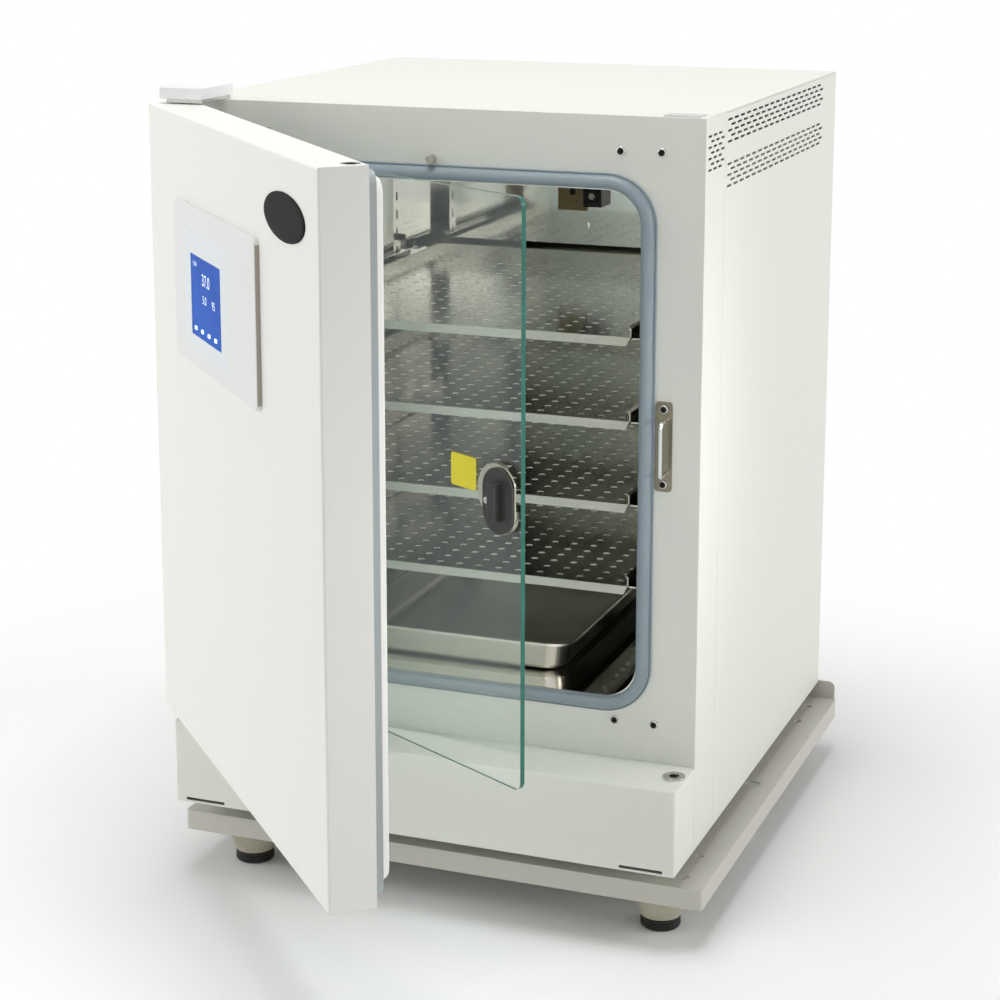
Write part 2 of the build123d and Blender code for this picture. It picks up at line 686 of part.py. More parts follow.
def shelf_top(index):
    """Height of a shelf's upper face; shelf 1 is the highest."""
    return SHELF_LOWEST_TOP + (SHELF_COUNT - index) * SHELF_PITCH


def shelf(index):
    """Shelf sheet with a front lip, turned-up sides and a higher back edge."""
    top = shelf_top(index)
    half = SHELF_WIDTH / 2
    y0, y1 = SHELF_FRONT, SHELF_FRONT + SHELF_DEPTH
    sheet = block(-half, half, y0, y1, top - SHELF_SHEET, top)
    narrow = half - SHELF_LIP_ANGLE_RUN
    lip = Polygon((-narrow, top - SHELF_LIP), (narrow, top - SHELF_LIP), (half, top), (-half, top), align=None)
    sheet += along_y(lip, y0, y0 + SHELF_SHEET)
    for side in (-1, 1):
        sheet += block(side * half, side * (half - SHELF_SHEET), y0 + SHELF_LIP_ANGLE_RUN, y1,
                       top, top + SHELF_SIDE_UPSTAND)
    return sheet + block(-half, half, y1 - SHELF_SHEET, y1, top, top + SHELF_BACK_UPSTAND)


def shelf_standards():
    """Four upright channels on the side walls, with slots for the supports."""
    wall = CHAMBER_WIDTH / 2
    face = wall - STANDARD_THICKNESS
    slots = int((STANDARD_TOP - STANDARD_BOTTOM) / STANDARD_SLOT_PITCH)
    standards = []
    for side in (-1, 1):
        for middle in (SHELF_FRONT + STANDARD_SETBACK, SHELF_FRONT + SHELF_DEPTH - STANDARD_SETBACK):
            post = block(side * wall, side * face, middle - STANDARD_WIDTH / 2, middle + STANDARD_WIDTH / 2,
                         STANDARD_BOTTOM, STANDARD_TOP)
            post -= block(side * (wall + 1), side * (face + SHEET), middle - STANDARD_WIDTH / 2 + SHEET,
                          middle + STANDARD_WIDTH / 2 - SHEET, STANDARD_BOTTOM - 1, STANDARD_TOP + 1)
            cuts = []
            for number in range(slots):
                z = STANDARD_BOTTOM + (number + 0.5) * STANDARD_SLOT_PITCH
                cuts.append(block(side * (face - 1), side * (face + 2 * SHEET),
                                  middle - STANDARD_SLOT_WIDTH / 2, middle + STANDARD_SLOT_WIDTH / 2,
                                  z, z + STANDARD_SLOT_LENGTH))
            standards.append(post - cuts)
    return Compound(standards)


def shelf_supports():
    """Angle rails under each shelf's sides, as one solid per side and shelf."""
    face = CHAMBER_WIDTH / 2 - STANDARD_THICKNESS
    start, end = SHELF_FRONT + SHELF_SHEET + SUPPORT_SETBACK, SHELF_FRONT + SHELF_DEPTH
    rails = []
    for index in range(1, SHELF_COUNT + 1):
        under = shelf_top(index) - SHELF_SHEET - RUNNING
        for side in (-1, 1):
            rail = block(side * face, side * (face - SUPPORT_LEG), start, end, under - SHEET, under)
            rail += block(side * face, side * (face - SHEET), start, end, under, under + SUPPORT_UPSTAND)
            rails.append(rail)
    return Compound(rails)


def pan_outline(grow):
    """The pan's plan outline, widened by grow on every side."""
    middle = PAN_FRONT + PAN_DEPTH / 2
    return Pos(0, middle) * RectangleRounded(PAN_WIDTH + 2 * grow, PAN_DEPTH + 2 * grow, PAN_CORNER + grow)


def water_pan():
    """Humidity pan with tapered walls and a turned-out rim."""
    low = CHAMBER_FLOOR + RUNNING
    high = low + PAN_HEIGHT
    outside = loft([Plane.XY.offset(low) * pan_outline(-PAN_TAPER), Plane.XY.offset(high) * pan_outline(0)])
    inside = loft([Plane.XY.offset(low + PAN_WALL) * pan_outline(-PAN_TAPER - PAN_WALL),
                   Plane.XY.offset(high + PAN_WALL) * pan_outline(-PAN_WALL)])
    rim = along_z(pan_outline(PAN_RIM) - pan_outline(-PAN_WALL), high - PAN_WALL, high)
    return outside + rim - inside


def fan_shroud():
    """Slotted cover around the fan, fastened under the ceiling."""
    half = SHROUD_SIZE / 2
    low = CHAMBER_TOP - SHROUD_DEPTH
    cover = block(-half, half, FAN_Y - half, FAN_Y + half, low, CHAMBER_TOP)
    cover -= block(-half + LINER_SHEET, half - LINER_SHEET, FAN_Y - half + LINER_SHEET,
                   FAN_Y + half - LINER_SHEET, low + LINER_SHEET, CHAMBER_TOP + 1)
    cover -= disc(0, FAN_Y, SHROUD_INLET_RADIUS, low - 1, low + 2 * LINER_SHEET)
    z0 = (low + CHAMBER_TOP - SHROUD_SLOT_HEIGHT) / 2
    z1 = z0 + SHROUD_SLOT_HEIGHT
    pitch = SHROUD_SIZE / SHROUD_SLOTS
    cuts = []
    for number in range(SHROUD_SLOTS):
        at = -half + (number + 0.5) * pitch
        reach = SHROUD_SLOT_LENGTH / 2
        cuts.append(block(at - reach, at + reach, FAN_Y - half - 1, FAN_Y - half + 2, z0, z1))
        for side in (-1, 1):
            cuts.append(block(side * (half - 2), side * (half + 1),
                              FAN_Y + at - reach, FAN_Y + at + reach, z0, z1))
    return cover - cuts


def fan_wheel():
    """Radial fan wheel with its shaft."""
    top = CHAMBER_TOP - FAN_CEILING_GAP
    low = top - FAN_BLADE_HEIGHT
    wheel = disc(0, FAN_Y, FAN_RADIUS, top - FAN_BLADE_THICKNESS, top)
    wheel += disc(0, FAN_Y, FAN_HUB_RADIUS, low, top)
    for number in range(FAN_BLADES):
        blade = block(FAN_HUB_RADIUS - 1, FAN_RADIUS - 1,
                      -FAN_BLADE_THICKNESS / 2, FAN_BLADE_THICKNESS / 2, low, top)
        wheel += Pos(0, FAN_Y, 0) * Rot(0, 0, number * 360 / FAN_BLADES) * blade
    shaft_top = BAY_FLOOR + MOTOR_BORE_DEPTH - 1
    return wheel + disc(0, FAN_Y, FAN_SHAFT_RADIUS, top, shaft_top)


def fan_motor():
    """Motor above the insulation, bored for the fan's shaft."""
    body = disc(0, FAN_Y, MOTOR_RADIUS, BAY_FLOOR, BAY_FLOOR + MOTOR_HEIGHT)
    return body - disc(0, FAN_Y, FAN_SHAFT_RADIUS + BEARING, BAY_FLOOR - 1, BAY_FLOOR + MOTOR_BORE_DEPTH)


def sensor_plate():
    """Gas probe cover plate on the back wall."""
    x0 = SENSOR_PLATE_LEFT
    return block(x0, x0 + SENSOR_PLATE_WIDTH, CHAMBER_BACK - SENSOR_PLATE_THICKNESS, CHAMBER_BACK,
                 SENSOR_PLATE_BOTTOM, SENSOR_PLATE_BOTTOM + SENSOR_PLATE_HEIGHT)


def sensor_block():
    """Temperature and gas sensor head beside the plate."""
    x0 = SENSOR_PLATE_LEFT + SENSOR_PLATE_WIDTH
    low = SENSOR_PLATE_BOTTOM + SENSOR_BLOCK_LIFT
    middle_x, middle_z = x0 + SENSOR_BLOCK_WIDTH / 2, low + SENSOR_BLOCK_HEIGHT / 2
    front = CHAMBER_BACK - SENSOR_BLOCK_DEPTH
    head = block(x0, x0 + SENSOR_BLOCK_WIDTH, front, CHAMBER_BACK, low, low + SENSOR_BLOCK_HEIGHT)
    head += rod(middle_x, middle_z, SENSOR_RING_RADIUS, front - SENSOR_RING_DEPTH, front)
    return head - rod(middle_x, middle_z, SENSOR_TIP_RADIUS, front - SENSOR_RING_DEPTH - 1, front)


def back_wall_plug():
    """Round plug in the middle of the back wall."""
    return rod(0, BACK_PLUG_HEIGHT, BACK_PLUG_RADIUS, CHAMBER_BACK - BACK_PLUG_DEPTH, CHAMBER_BACK)


def outer_door_shell():
    """Painted outer skin, a tray that is open towards the cabinet."""
    x0, x1 = DOOR_LEFT, DOOR_LEFT + DOOR_WIDTH
    shell = block(x0, x1, -DOOR_FACE, -DOOR_BACK, DOOR_BOTTOM, DOOR_TOP)
    shell = fillet(shell.faces().sort_by(Axis.Y)[0].edges(), DOOR_EDGE_RADIUS)
    shell -= block(x0 + DOOR_WALL, x1 - DOOR_WALL, DOOR_WALL - DOOR_FACE, 0,
                   DOOR_BOTTOM + DOOR_WALL, DOOR_TOP - DOOR_WALL)
    for side in (-1, 1):
        x = side * abs(PIVOT_X)
        shell -= disc(x, -PIVOT_SETBACK, BUSH_RADIUS, DOOR_BOTTOM - 1, DOOR_BOTTOM + 2 * DOOR_WALL)
        shell -= disc(x, -PIVOT_SETBACK, BUSH_RADIUS, DOOR_TOP - 2 * DOOR_WALL, DOOR_TOP + 1)
    return shell


def ring_outline(side_inset, end_inset, corner=DISH_CORNER):
    """The outer door's outline in the front view, drawn in at the sides and at both ends."""
    return rounded(0, DOOR_MID, DOOR_WIDTH - 2 * side_inset, DOOR_HEIGHT - 2 * end_inset, corner)


def outer_door_inner_panel():
    """Moulded inner panel: a raised frame around a dish that clears the latch."""
    front = DOOR_BACK - RING_RISE
    edge = DOOR_WALL + SEAM
    dish = RING_INSET + RING_WIDTH
    flange = Pos(0, DOOR_MID) * Rectangle(DOOR_WIDTH - 2 * edge, DOOR_HEIGHT - 2 * edge)
    panel = along_y(flange, -DOOR_BACK - DISH_WALL, -DOOR_BACK)
    panel += along_y(ring_outline(RING_INSET, RING_INSET), -DOOR_BACK, -front)
    panel += along_y(ring_outline(dish - DISH_WALL, dish - DISH_WALL), -DISH_BOTTOM - DISH_WALL, -front)
    panel -= along_y(ring_outline(dish, dish), -DISH_BOTTOM, 0)
    for side in (-1, 1):
        x = side * abs(PIVOT_X)
        for end in (DOOR_BOTTOM, DOOR_TOP):
            panel -= disc(x, -PIVOT_SETBACK, BUSH_RADIUS + SEAM, end - BUSH_LENGTH - 1, end + BUSH_LENGTH + 1)
    return panel


def outer_door_core():
    """Insulating foam between the skin and the inner panel."""
    edge = DOOR_WALL
    outline = Pos(0, DOOR_MID) * Rectangle(DOOR_WIDTH - 2 * edge, DOOR_HEIGHT - 2 * edge)
    core = along_y(outline, DOOR_WALL - DOOR_FACE, -DOOR_BACK - DISH_WALL)
    dish = RING_INSET + RING_WIDTH - DISH_WALL
    core -= along_y(ring_outline(dish, dish), -DISH_BOTTOM - DISH_WALL, 0)
    for side in (-1, 1):
        x = side * abs(PIVOT_X)
        core -= disc(x, -PIVOT_SETBACK, BUSH_RADIUS, DOOR_BOTTOM, DOOR_BOTTOM + BUSH_LENGTH)
        core -= disc(x, -PIVOT_SETBACK, BUSH_RADIUS, DOOR_TOP - BUSH_LENGTH, DOOR_TOP)
    return core


def outer_door_gasket():
    """Magnetic seal on the inner panel's raised frame."""
    front = DOOR_BACK - RING_RISE
    ring = ring_outline(SEAL_SIDE_INSET, SEAL_END_INSET, SEAL_CORNER)
    ring -= ring_outline(SEAL_SIDE_INSET + SEAL_WIDTH, SEAL_END_INSET + SEAL_WIDTH, SEAL_CORNER)
    seal = along_y(ring, -front, -SEAL_GAP)
    return fillet(seal.faces().sort_by(Axis.Y)[-1].edges(), SEAL_ROUNDING)


def door_bushes():
    """Hinge bushes in the door's four corners: two in use and two spare."""
    bushes = []
    for side in (-1, 1):
        x = side * abs(PIVOT_X)
        for z0, z1 in ((DOOR_BOTTOM, DOOR_BOTTOM + BUSH_LENGTH), (DOOR_TOP - BUSH_LENGTH, DOOR_TOP)):
            bush = disc(x, -PIVOT_SETBACK, BUSH_RADIUS, z0, z1)
            bushes.append(bush - disc(x, -PIVOT_SETBACK, HINGE_PIN_RADIUS + BEARING, z0 - 1, z1 + 1))
    return Compound(bushes)


def face_rectangle(left, width, bottom, height, radius):
    """A rounded rectangle on the door's face, placed from its hinge-side edge."""
    return rounded(DOOR_LEFT + left + width / 2, bottom + height / 2, width, height, radius)


def display_bezel():
    """Raised display frame with a recess for the window."""
    outline = face_rectangle(BEZEL_LEFT, BEZEL_WIDTH, BEZEL_BOTTOM, BEZEL_HEIGHT, BEZEL_CORNER)
    bezel = along_y(outline, -DOOR_FACE - BEZEL_THICKNESS, -DOOR_FACE)
    bezel = chamfer(bezel.faces().sort_by(Axis.Y)[0].edges(), BEZEL_CHAMFER)
    window = face_rectangle(WINDOW_LEFT, WINDOW_WIDTH, WINDOW_BOTTOM, WINDOW_HEIGHT, WINDOW_CORNER)
    front = -DOOR_FACE - BEZEL_THICKNESS
    return bezel - along_y(window, front - 1, front + WINDOW_THICKNESS)


def screen_outline():
    """The screen's rectangle on the door's face."""
    return Pos(DOOR_LEFT + SCREEN_LEFT + SCREEN_WIDTH / 2, SCREEN_BOTTOM + SCREEN_HEIGHT / 2) * Rectangle(
        SCREEN_WIDTH, SCREEN_HEIGHT)


def display_window():
    """Window panel in the bezel, cut out for the screen."""
    front = -DOOR_FACE - BEZEL_THICKNESS
    window = face_rectangle(WINDOW_LEFT, WINDOW_WIDTH, WINDOW_BOTTOM, WINDOW_HEIGHT, WINDOW_CORNER)
    return along_y(window - screen_outline(), front, front + WINDOW_THICKNESS)


def display_screen():
    """Touch screen, a little behind the window's face."""
    back = -DOOR_FACE - BEZEL_THICKNESS + WINDOW_THICKNESS
    return along_y(screen_outline(), back - SCREEN_THICKNESS, back)


def badge_plate():
    """Plain oval plate beside the display."""
    oval = Pos(DOOR_LEFT + BADGE_CENTRE, BADGE_CENTRE_HEIGHT) * Ellipse(BADGE_WIDTH / 2, BADGE_HEIGHT / 2)
    return along_y(oval, -DOOR_FACE - BADGE_THICKNESS, -DOOR_FACE)


def glass_pane():
    """Tempered glass of the inner door."""
    outline = rounded((GLASS_LEFT + GLASS_RIGHT) / 2, (GLASS_BOTTOM + GLASS_TOP) / 2,
                      GLASS_WIDTH, GLASS_HEIGHT, GLASS_CORNER)
    pane = along_y(outline, -GLASS_FRONT, -GLASS_BACK)
    for low in (GLASS_BOTTOM - 1, GLASS_TOP - GLASS_NOTCH_HEIGHT):
        pane -= block(GLASS_LEFT - 1, GLASS_LEFT + GLASS_NOTCH_WIDTH, -GLASS_FRONT - 1, 0,
                      low, low + GLASS_NOTCH_HEIGHT + 1)
    return pane - rod(LATCH_X, LATCH_HEIGHT, LATCH_SHAFT_RADIUS + RUNNING, -GLASS_FRONT - 1, -GLASS_BACK + 1)


def glass_fitting(up):
    """Clamp on a hinge-side corner of the glass, bored for the hinge pin."""
    edge = GLASS_TOP if up else GLASS_BOTTOM
    sign = 1 if up else -1
    x0, x1 = GLASS_LEFT - FITTING_OVERHANG, GLASS_LEFT + FITTING_LENGTH - FITTING_OVERHANG
    y0, y1 = -GLASS_FRONT - FITTING_WALL, -GLASS_BACK
    clamp = block(x0, x1, y0, y1, edge - sign * FITTING_HEIGHT, edge + sign * FITTING_BEYOND)
    clamp -= glass_pane()
    return clamp - disc(GLASS_LEFT, -GLASS_PIVOT_Y, GLASS_PIN_RADIUS + BEARING,
                        min(edge - sign * GLASS_PIN_LENGTH, edge + sign * (FITTING_BEYOND + 1)),
                        max(edge - sign * GLASS_PIN_LENGTH, edge + sign * (FITTING_BEYOND + 1)))


def glass_hinge_fittings():
    """The glass door's upper and lower corner clamps."""
    return Compound([glass_fitting(True), glass_fitting(False)])


def glass_hinge_bracket(up):
    """Bracket on the front panel with the glass door's hinge pin."""
    sign = 1 if up else -1
    edge = (GLASS_TOP if up else GLASS_BOTTOM) + sign * (FITTING_BEYOND + RUNNING)
    left = GLASS_BRACKET_LEFT - HALF_WIDTH
    screw_z = HINGE_SCREW_TOP if up else HINGE_SCREW_BOTTOM
    arm_far = edge + sign * GLASS_BRACKET_ARM_HEIGHT
    plate_far = screw_z + sign * GLASS_BRACKET_HEIGHT / 2
    bracket = block(left, left + GLASS_BRACKET_WIDTH, -GLASS_BRACKET_THICKNESS, 0,
                    min(edge, plate_far), max(edge, plate_far))
    arm_x = GLASS_LEFT - GLASS_BRACKET_ARM_WIDTH / 2
    bracket += block(arm_x, arm_x + GLASS_BRACKET_ARM_WIDTH, -GLASS_BRACKET_ARM, 0,
                     min(edge, arm_far), max(edge, arm_far))
    pin_end = edge - sign * GLASS_PIN_LENGTH
    return bracket + disc(GLASS_LEFT, -GLASS_PIVOT_Y, GLASS_PIN_RADIUS,
                          min(edge, pin_end), max(edge, pin_end))


def glass_hinge_brackets():
    """Both brackets of the glass door's hinge."""
    return Compound([glass_hinge_bracket(True), glass_hinge_bracket(False)])


def oval(width, height):
    """An upright oval with straight sides, at the latch."""
    return Pos(LATCH_X, LATCH_HEIGHT) * SlotOverall(height, width, rotation=90)


def housing_outline(inset):
    """The latch housing's outline: an oval on a round rose, cut straight beside the glass's edge."""
    rose = Pos(LATCH_X - ROSE_SHIFT, LATCH_HEIGHT + ROSE_LIFT) * Circle(ROSE_RADIUS - inset)
    outline = rose + oval(HOUSING_WIDTH - 2 * inset, HOUSING_HEIGHT - 2 * inset)
    right = GLASS_RIGHT - HOUSING_EDGE - inset
    width = 2 * ROSE_RADIUS + ROSE_SHIFT
    return outline & Pos(right - width / 2, LATCH_HEIGHT) * Rectangle(width, 2 * HOUSING_HEIGHT)


def latch_housing():
    """Hollow housing on the glass, open at the free edge where the tongue swings out."""
    y0, y1 = -GLASS_FRONT - HOUSING_DEPTH, -GLASS_FRONT
    housing = along_y(housing_outline(0), y0, y1)
    housing -= along_y(housing_outline(HOUSING_WALL), y0 + HOUSING_WALL, y1 + 1)
    housing -= rod(LATCH_X, LATCH_HEIGHT, LATCH_SHAFT_RADIUS + BEARING, y0 - 1, y1)
    slot_low = LATCH_HEIGHT - TONGUE_WIDTH / 2 - 1
    slot_high = LATCH_HEIGHT + HOUSING_HEIGHT / 2 - HOUSING_WALL
    return housing - block(LATCH_X, LATCH_X + HOUSING_WIDTH, y1 - TONGUE_THICKNESS - 3 * RUNNING, y1 + 1,
                           slot_low, slot_high)


def latch_knob():
    """Oval knob with a raised grip, on the latch's shaft."""
    face = -GLASS_FRONT - HOUSING_DEPTH - RUNNING
    knob = along_y(oval(KNOB_WIDTH, KNOB_HEIGHT), face - KNOB_DEPTH, face)
    knob = chamfer(knob.faces().sort_by(Axis.Y)[0].edges(), KNOB_CHAMFER)
    knob += along_y(oval(GRIP_WIDTH, GRIP_HEIGHT), face - KNOB_DEPTH - GRIP_DEPTH, face - KNOB_DEPTH)
    return knob + rod(LATCH_X, LATCH_HEIGHT, LATCH_SHAFT_RADIUS, face, -GLASS_FRONT + TONGUE_THICKNESS)


def latch_tongue():
    """Flat tongue on the shaft, inside the housing while the latch is open."""
    y0 = -GLASS_FRONT - RUNNING - TONGUE_THICKNESS
    y1 = -GLASS_FRONT - RUNNING
    reach = TONGUE_REACH + TONGUE_WIDTH / 2
    middle = LATCH_HEIGHT - TONGUE_WIDTH / 2 + reach / 2
    arm = along_y(Pos(LATCH_X, middle) * SlotOverall(reach, TONGUE_WIDTH, rotation=90), y0, y1)
    return arm - rod(LATCH_X, LATCH_HEIGHT, LATCH_SHAFT_RADIUS, y0 - 1, y1 + 1)


def strike_plate():
    """Keeper on the front panel: a plate with a standing bar for the tongue."""
    z0 = STRIKE_CENTRE_HEIGHT - STRIKE_HEIGHT / 2
    x0, x1 = STRIKE_X - STRIKE_WIDTH / 2, STRIKE_X + STRIKE_WIDTH / 2
    plate = block(x0, x1, -STRIKE_THICKNESS, 0, z0, z0 + STRIKE_HEIGHT)
    bar_x = x1 - STRIKE_BAR_INSET
    hollow = Pos(bar_x, STRIKE_CENTRE_HEIGHT) * Rectangle(STRIKE_HOLLOW_WIDTH, STRIKE_HOLLOW_HEIGHT)
    plate -= along_y(hollow, -STRIKE_THICKNESS - 1, -STRIKE_THICKNESS / 2)
    half = STRIKE_BAR_LENGTH / 2
    plate += along_z(Pos(bar_x, -STRIKE_BAR_STANDOFF) * Circle(STRIKE_BAR_RADIUS),
                     STRIKE_CENTRE_HEIGHT - half, STRIKE_CENTRE_HEIGHT + half)
    for end in (-1, 1):
        z = STRIKE_CENTRE_HEIGHT + end * (half - STRIKE_BAR_RADIUS)
        plate += rod(bar_x, z, STRIKE_BAR_RADIUS, -STRIKE_BAR_STANDOFF, -STRIKE_THICKNESS)
    return plate


def screw(x, z, seat):
    """Button-head screw with its socket, seated on a surface in front."""
    head = rod(x, z, SCREW_HEAD_RADIUS, -seat - SCREW_HEAD_HEIGHT, -seat)
    head = chamfer(head.faces().sort_by(Axis.Y)[0].edges(), SCREW_HEAD_CHAMFER)
    return head - rod(x, z, SCREW_SOCKET_RADIUS, -seat - SCREW_HEAD_HEIGHT - 1,
                      -seat - SCREW_HEAD_HEIGHT + SCREW_SOCKET_DEPTH)


def front_screws():
    """Screws of the hinge brackets, the spare hinge places and the strike."""
    screws = []
    for z in (HINGE_SCREW_TOP, HINGE_SCREW_BOTTOM):
        for inset in (HINGE_SCREW_OUTER, HINGE_SCREW_INNER):
            screws.append(screw(inset - HALF_WIDTH, z, GLASS_BRACKET_THICKNESS))
            screws.append(screw(HALF_WIDTH - inset, z, 0))
    for end in (-1, 1):
        screws.append(screw(STRIKE_X, STRIKE_CENTRE_HEIGHT + end * STRIKE_SCREW_OFFSET, STRIKE_THICKNESS))
    return Compound(screws)


def door_sensor_button():
    """Sprung button that the glass door presses."""
    button = rod(BUTTON_X, BUTTON_HEIGHT, BUTTON_RADIUS, -BUTTON_REACH, -BUTTON_TRAVEL - RUNNING)
    return button + rod(BUTTON_X, BUTTON_HEIGHT, BUTTON_STEM_RADIUS, -BUTTON_TRAVEL - RUNNING,
                        BUTTON_STEM_END)


def access_port():
    """Sleeve from the chamber to the rear panel, with a flange outside."""
    back = CABINET_DEPTH
    front = CHAMBER_BACK + LINER_SHEET
    sleeve = rod(PORT_X, PORT_HEIGHT, PORT_BORE_RADIUS + PORT_WALL, front, back)
    sleeve += rod(PORT_X, PORT_HEIGHT, PORT_FLANGE_RADIUS, back, back + PORT_FLANGE_THICKNESS)
    return sleeve - rod(PORT_X, PORT_HEIGHT, PORT_BORE_RADIUS, front - 1, back + PORT_FLANGE_THICKNESS + 1)


def port_stopper():
    """Silicone stopper in the access port."""
    seat = CABINET_DEPTH + PORT_FLANGE_THICKNESS + SEAM
    plug = rod(PORT_X, PORT_HEIGHT, PORT_BORE_RADIUS - STOPPER_SLACK, seat - STOPPER_GRIP_LENGTH, seat)
    return plug + rod(PORT_X, PORT_HEIGHT, STOPPER_HEAD_RADIUS, seat, seat + STOPPER_HEAD_THICKNESS)


def gas_inlet():
    """Gas pipe through the insulation, ending in a hose barb at the back."""
    back = CABINET_DEPTH
    front = CHAMBER_BACK + LINER_SHEET
    end = back + GAS_FLANGE_THICKNESS + GAS_BARB_LENGTH
    pipe = rod(GAS_X, GAS_HEIGHT, GAS_BARB_RADIUS, front, end)
    pipe += rod(GAS_X, GAS_HEIGHT, GAS_FLANGE_RADIUS, back, back + GAS_FLANGE_THICKNESS)
    return pipe - rod(GAS_X, GAS_HEIGHT, GAS_BORE_RADIUS, front - 1, end + 1)


def power_inlet():
    """Mains inlet and the frame of the power switch, on the rear panel."""
    return Compound([mains_socket(), switch_frame()])


def mains_socket():
    """Recessed mains inlet with its three pins."""
    back = CABINET_DEPTH
    face = back + INLET_LIP
    flange = rounded(INLET_X, INLET_HEIGHT, INLET_WIDTH + 2 * INLET_FLANGE, INLET_TALL + 2 * INLET_FLANGE,
                     INLET_FLANGE)
    body = along_y(Pos(INLET_X, INLET_HEIGHT) * Rectangle(INLET_WIDTH, INLET_TALL), back - INLET_DEPTH, back)
    body += along_y(flange, back, face)
    mouth = rounded(INLET_X, INLET_HEIGHT, INLET_CAVITY_WIDTH, INLET_CAVITY_TALL, INLET_CAVITY_CORNER)
    floor = face - INLET_CAVITY_DEPTH
    body -= along_y(mouth, floor, face + 1)
    for column in (-1, 0, 1):
        pin = Rectangle(INLET_PIN_WIDTH, INLET_PIN_TALL)
        body += along_y(Pos(INLET_X + column * INLET_PIN_PITCH, INLET_HEIGHT) * pin, floor,
                        floor + INLET_PIN_LENGTH)
    return body


def switch_frame():
    """Open frame that holds the rocker of the power switch."""
    back = CABINET_DEPTH
    wall, lip = RUNNING + ROCKER_FRAME_WALL, RUNNING + ROCKER_FRAME_WALL + ROCKER_FRAME_LIP
    frame = along_y(rocker_outline(wall), back - ROCKER_FRAME_DEPTH, back)
    frame += along_y(rocker_outline(lip), back, back + ROCKER_FRAME_LIP)
    frame -= along_y(rocker_outline(RUNNING), back - ROCKER_FRAME_DEPTH + ROCKER_FRAME_WALL,
                     back + ROCKER_FRAME_LIP + 1)
    return frame - rocker_axle(BEARING)


def rocker_outline(grow):
    """The rocker's outline in the rear view, widened by grow on every side."""
    return Pos(ROCKER_X, INLET_HEIGHT) * Rectangle(ROCKER_WIDTH + 2 * grow, ROCKER_TALL + 2 * grow)


def rocker_axle(grow):
    """The rocker's axle between the frame's sides, widened by grow."""
    reach = ROCKER_WIDTH / 2 + RUNNING + ROCKER_FRAME_WALL - 1 + grow
    axle = along_x(Circle(ROCKER_AXLE_RADIUS + grow), -reach, reach)
    return Pos(ROCKER_X, CABINET_DEPTH - ROCKER_DEPTH, INLET_HEIGHT) * axle


def power_rocker():
    """Rocker of the power switch, tilted to its off side."""
    pivot = CABINET_DEPTH - ROCKER_DEPTH
    half = ROCKER_TALL / 2 - 1
    key = block(ROCKER_X - ROCKER_WIDTH / 2, ROCKER_X + ROCKER_WIDTH / 2,
                pivot - ROCKER_THICKNESS / 2, pivot + ROCKER_THICKNESS,
                INLET_HEIGHT - half, INLET_HEIGHT + half)
    tilted = Pos(0, pivot, INLET_HEIGHT) * Rot(ROCKER_REST_TILT, 0, 0) * Pos(0, -pivot, -INLET_HEIGHT) * key
    return tilted + rocker_axle(0)


def control_board():
    """Control board on four standoffs in the electronics bay."""
    low = BAY_FLOOR + BOARD_STANDOFF
    top = low + BOARD_THICKNESS
    board = Pos(BOARD_X, BOARD_Y, low) * board_box(BOARD_WIDTH, BOARD_LENGTH, BOARD_THICKNESS)
    for x in (BOARD_X - BOARD_WIDTH / 2 + BOARD_HOLE_INSET, BOARD_X + BOARD_WIDTH / 2 - BOARD_HOLE_INSET):
        for y in (BOARD_Y - BOARD_LENGTH / 2 + BOARD_HOLE_INSET, BOARD_Y + BOARD_LENGTH / 2 - BOARD_HOLE_INSET):
            board += disc(x, y, STANDOFF_RADIUS, BAY_FLOOR, low)
    front, back = BOARD_Y - BOARD_LENGTH / 4, BOARD_Y + BOARD_LENGTH / 4
    board += Pos(BOARD_X - BOARD_WIDTH / 4, front, top) * board_box(CHIP_SIZE, CHIP_SIZE, CHIP_HEIGHT)
    board += Pos(BOARD_X + BOARD_WIDTH / 4, front, top) * board_box(RELAY_LENGTH, RELAY_WIDTH, RELAY_HEIGHT)
    return board + Pos(BOARD_X, back, top) * board_box(TERMINAL_LENGTH, TERMINAL_WIDTH, RELAY_HEIGHT)


def board_box(length, width, height):
    """A box that stands on its own origin."""
    return Pos(0, 0, height / 2) * Box(length, width, height)


def power_supply():
    """Boxed power supply in the electronics bay."""
    top = BAY_FLOOR + SUPPLY_HEIGHT
    case = Pos(SUPPLY_X, SUPPLY_Y, BAY_FLOOR) * board_box(SUPPLY_WIDTH, SUPPLY_LENGTH, SUPPLY_HEIGHT)
    slot = board_box(SUPPLY_SLOT_WIDTH, SUPPLY_SLOT_LENGTH, SUPPLY_SLOT_DEPTH + 1)
    for number in range(SUPPLY_SLOTS):
        x = SUPPLY_X + (number - (SUPPLY_SLOTS - 1) / 2) * SUPPLY_SLOT_PITCH
        case -= Pos(x, SUPPLY_Y, top - SUPPLY_SLOT_DEPTH) * slot
    return case


def tray_holes():
    """Places of the small holes and the large holes in the tray's top."""
    half = TRAY_WIDTH / 2 - TRAY_HOLE_INSET
    small, large = [], []
    for side in (-1, 1):
        x = TRAY_OFFSET + side * half
        for pair in (-TRAY_HOLE_FRONT, -TRAY_HOLE_FRONT + TRAY_HOLE_SPAN):
            small += [(x, pair), (x, pair + TRAY_HOLE_SPACING)]
        large.append((x, -TRAY_HOLE_FRONT + (TRAY_HOLE_SPAN + TRAY_HOLE_SPACING) / 2))
    return small, large


def foot_places():
    """Middle of each levelling foot: front left, front right, back left, back right."""
    left = TRAY_OFFSET - TRAY_WIDTH / 2 + CUP_INSET_X
    right = TRAY_OFFSET + TRAY_WIDTH / 2 - CUP_INSET_X
    front, back = -TRAY_FRONT + CUP_INSET_Y, TRAY_BACK - CUP_INSET_Y
    return [(left, front), (right, front), (left, back), (right, back)]


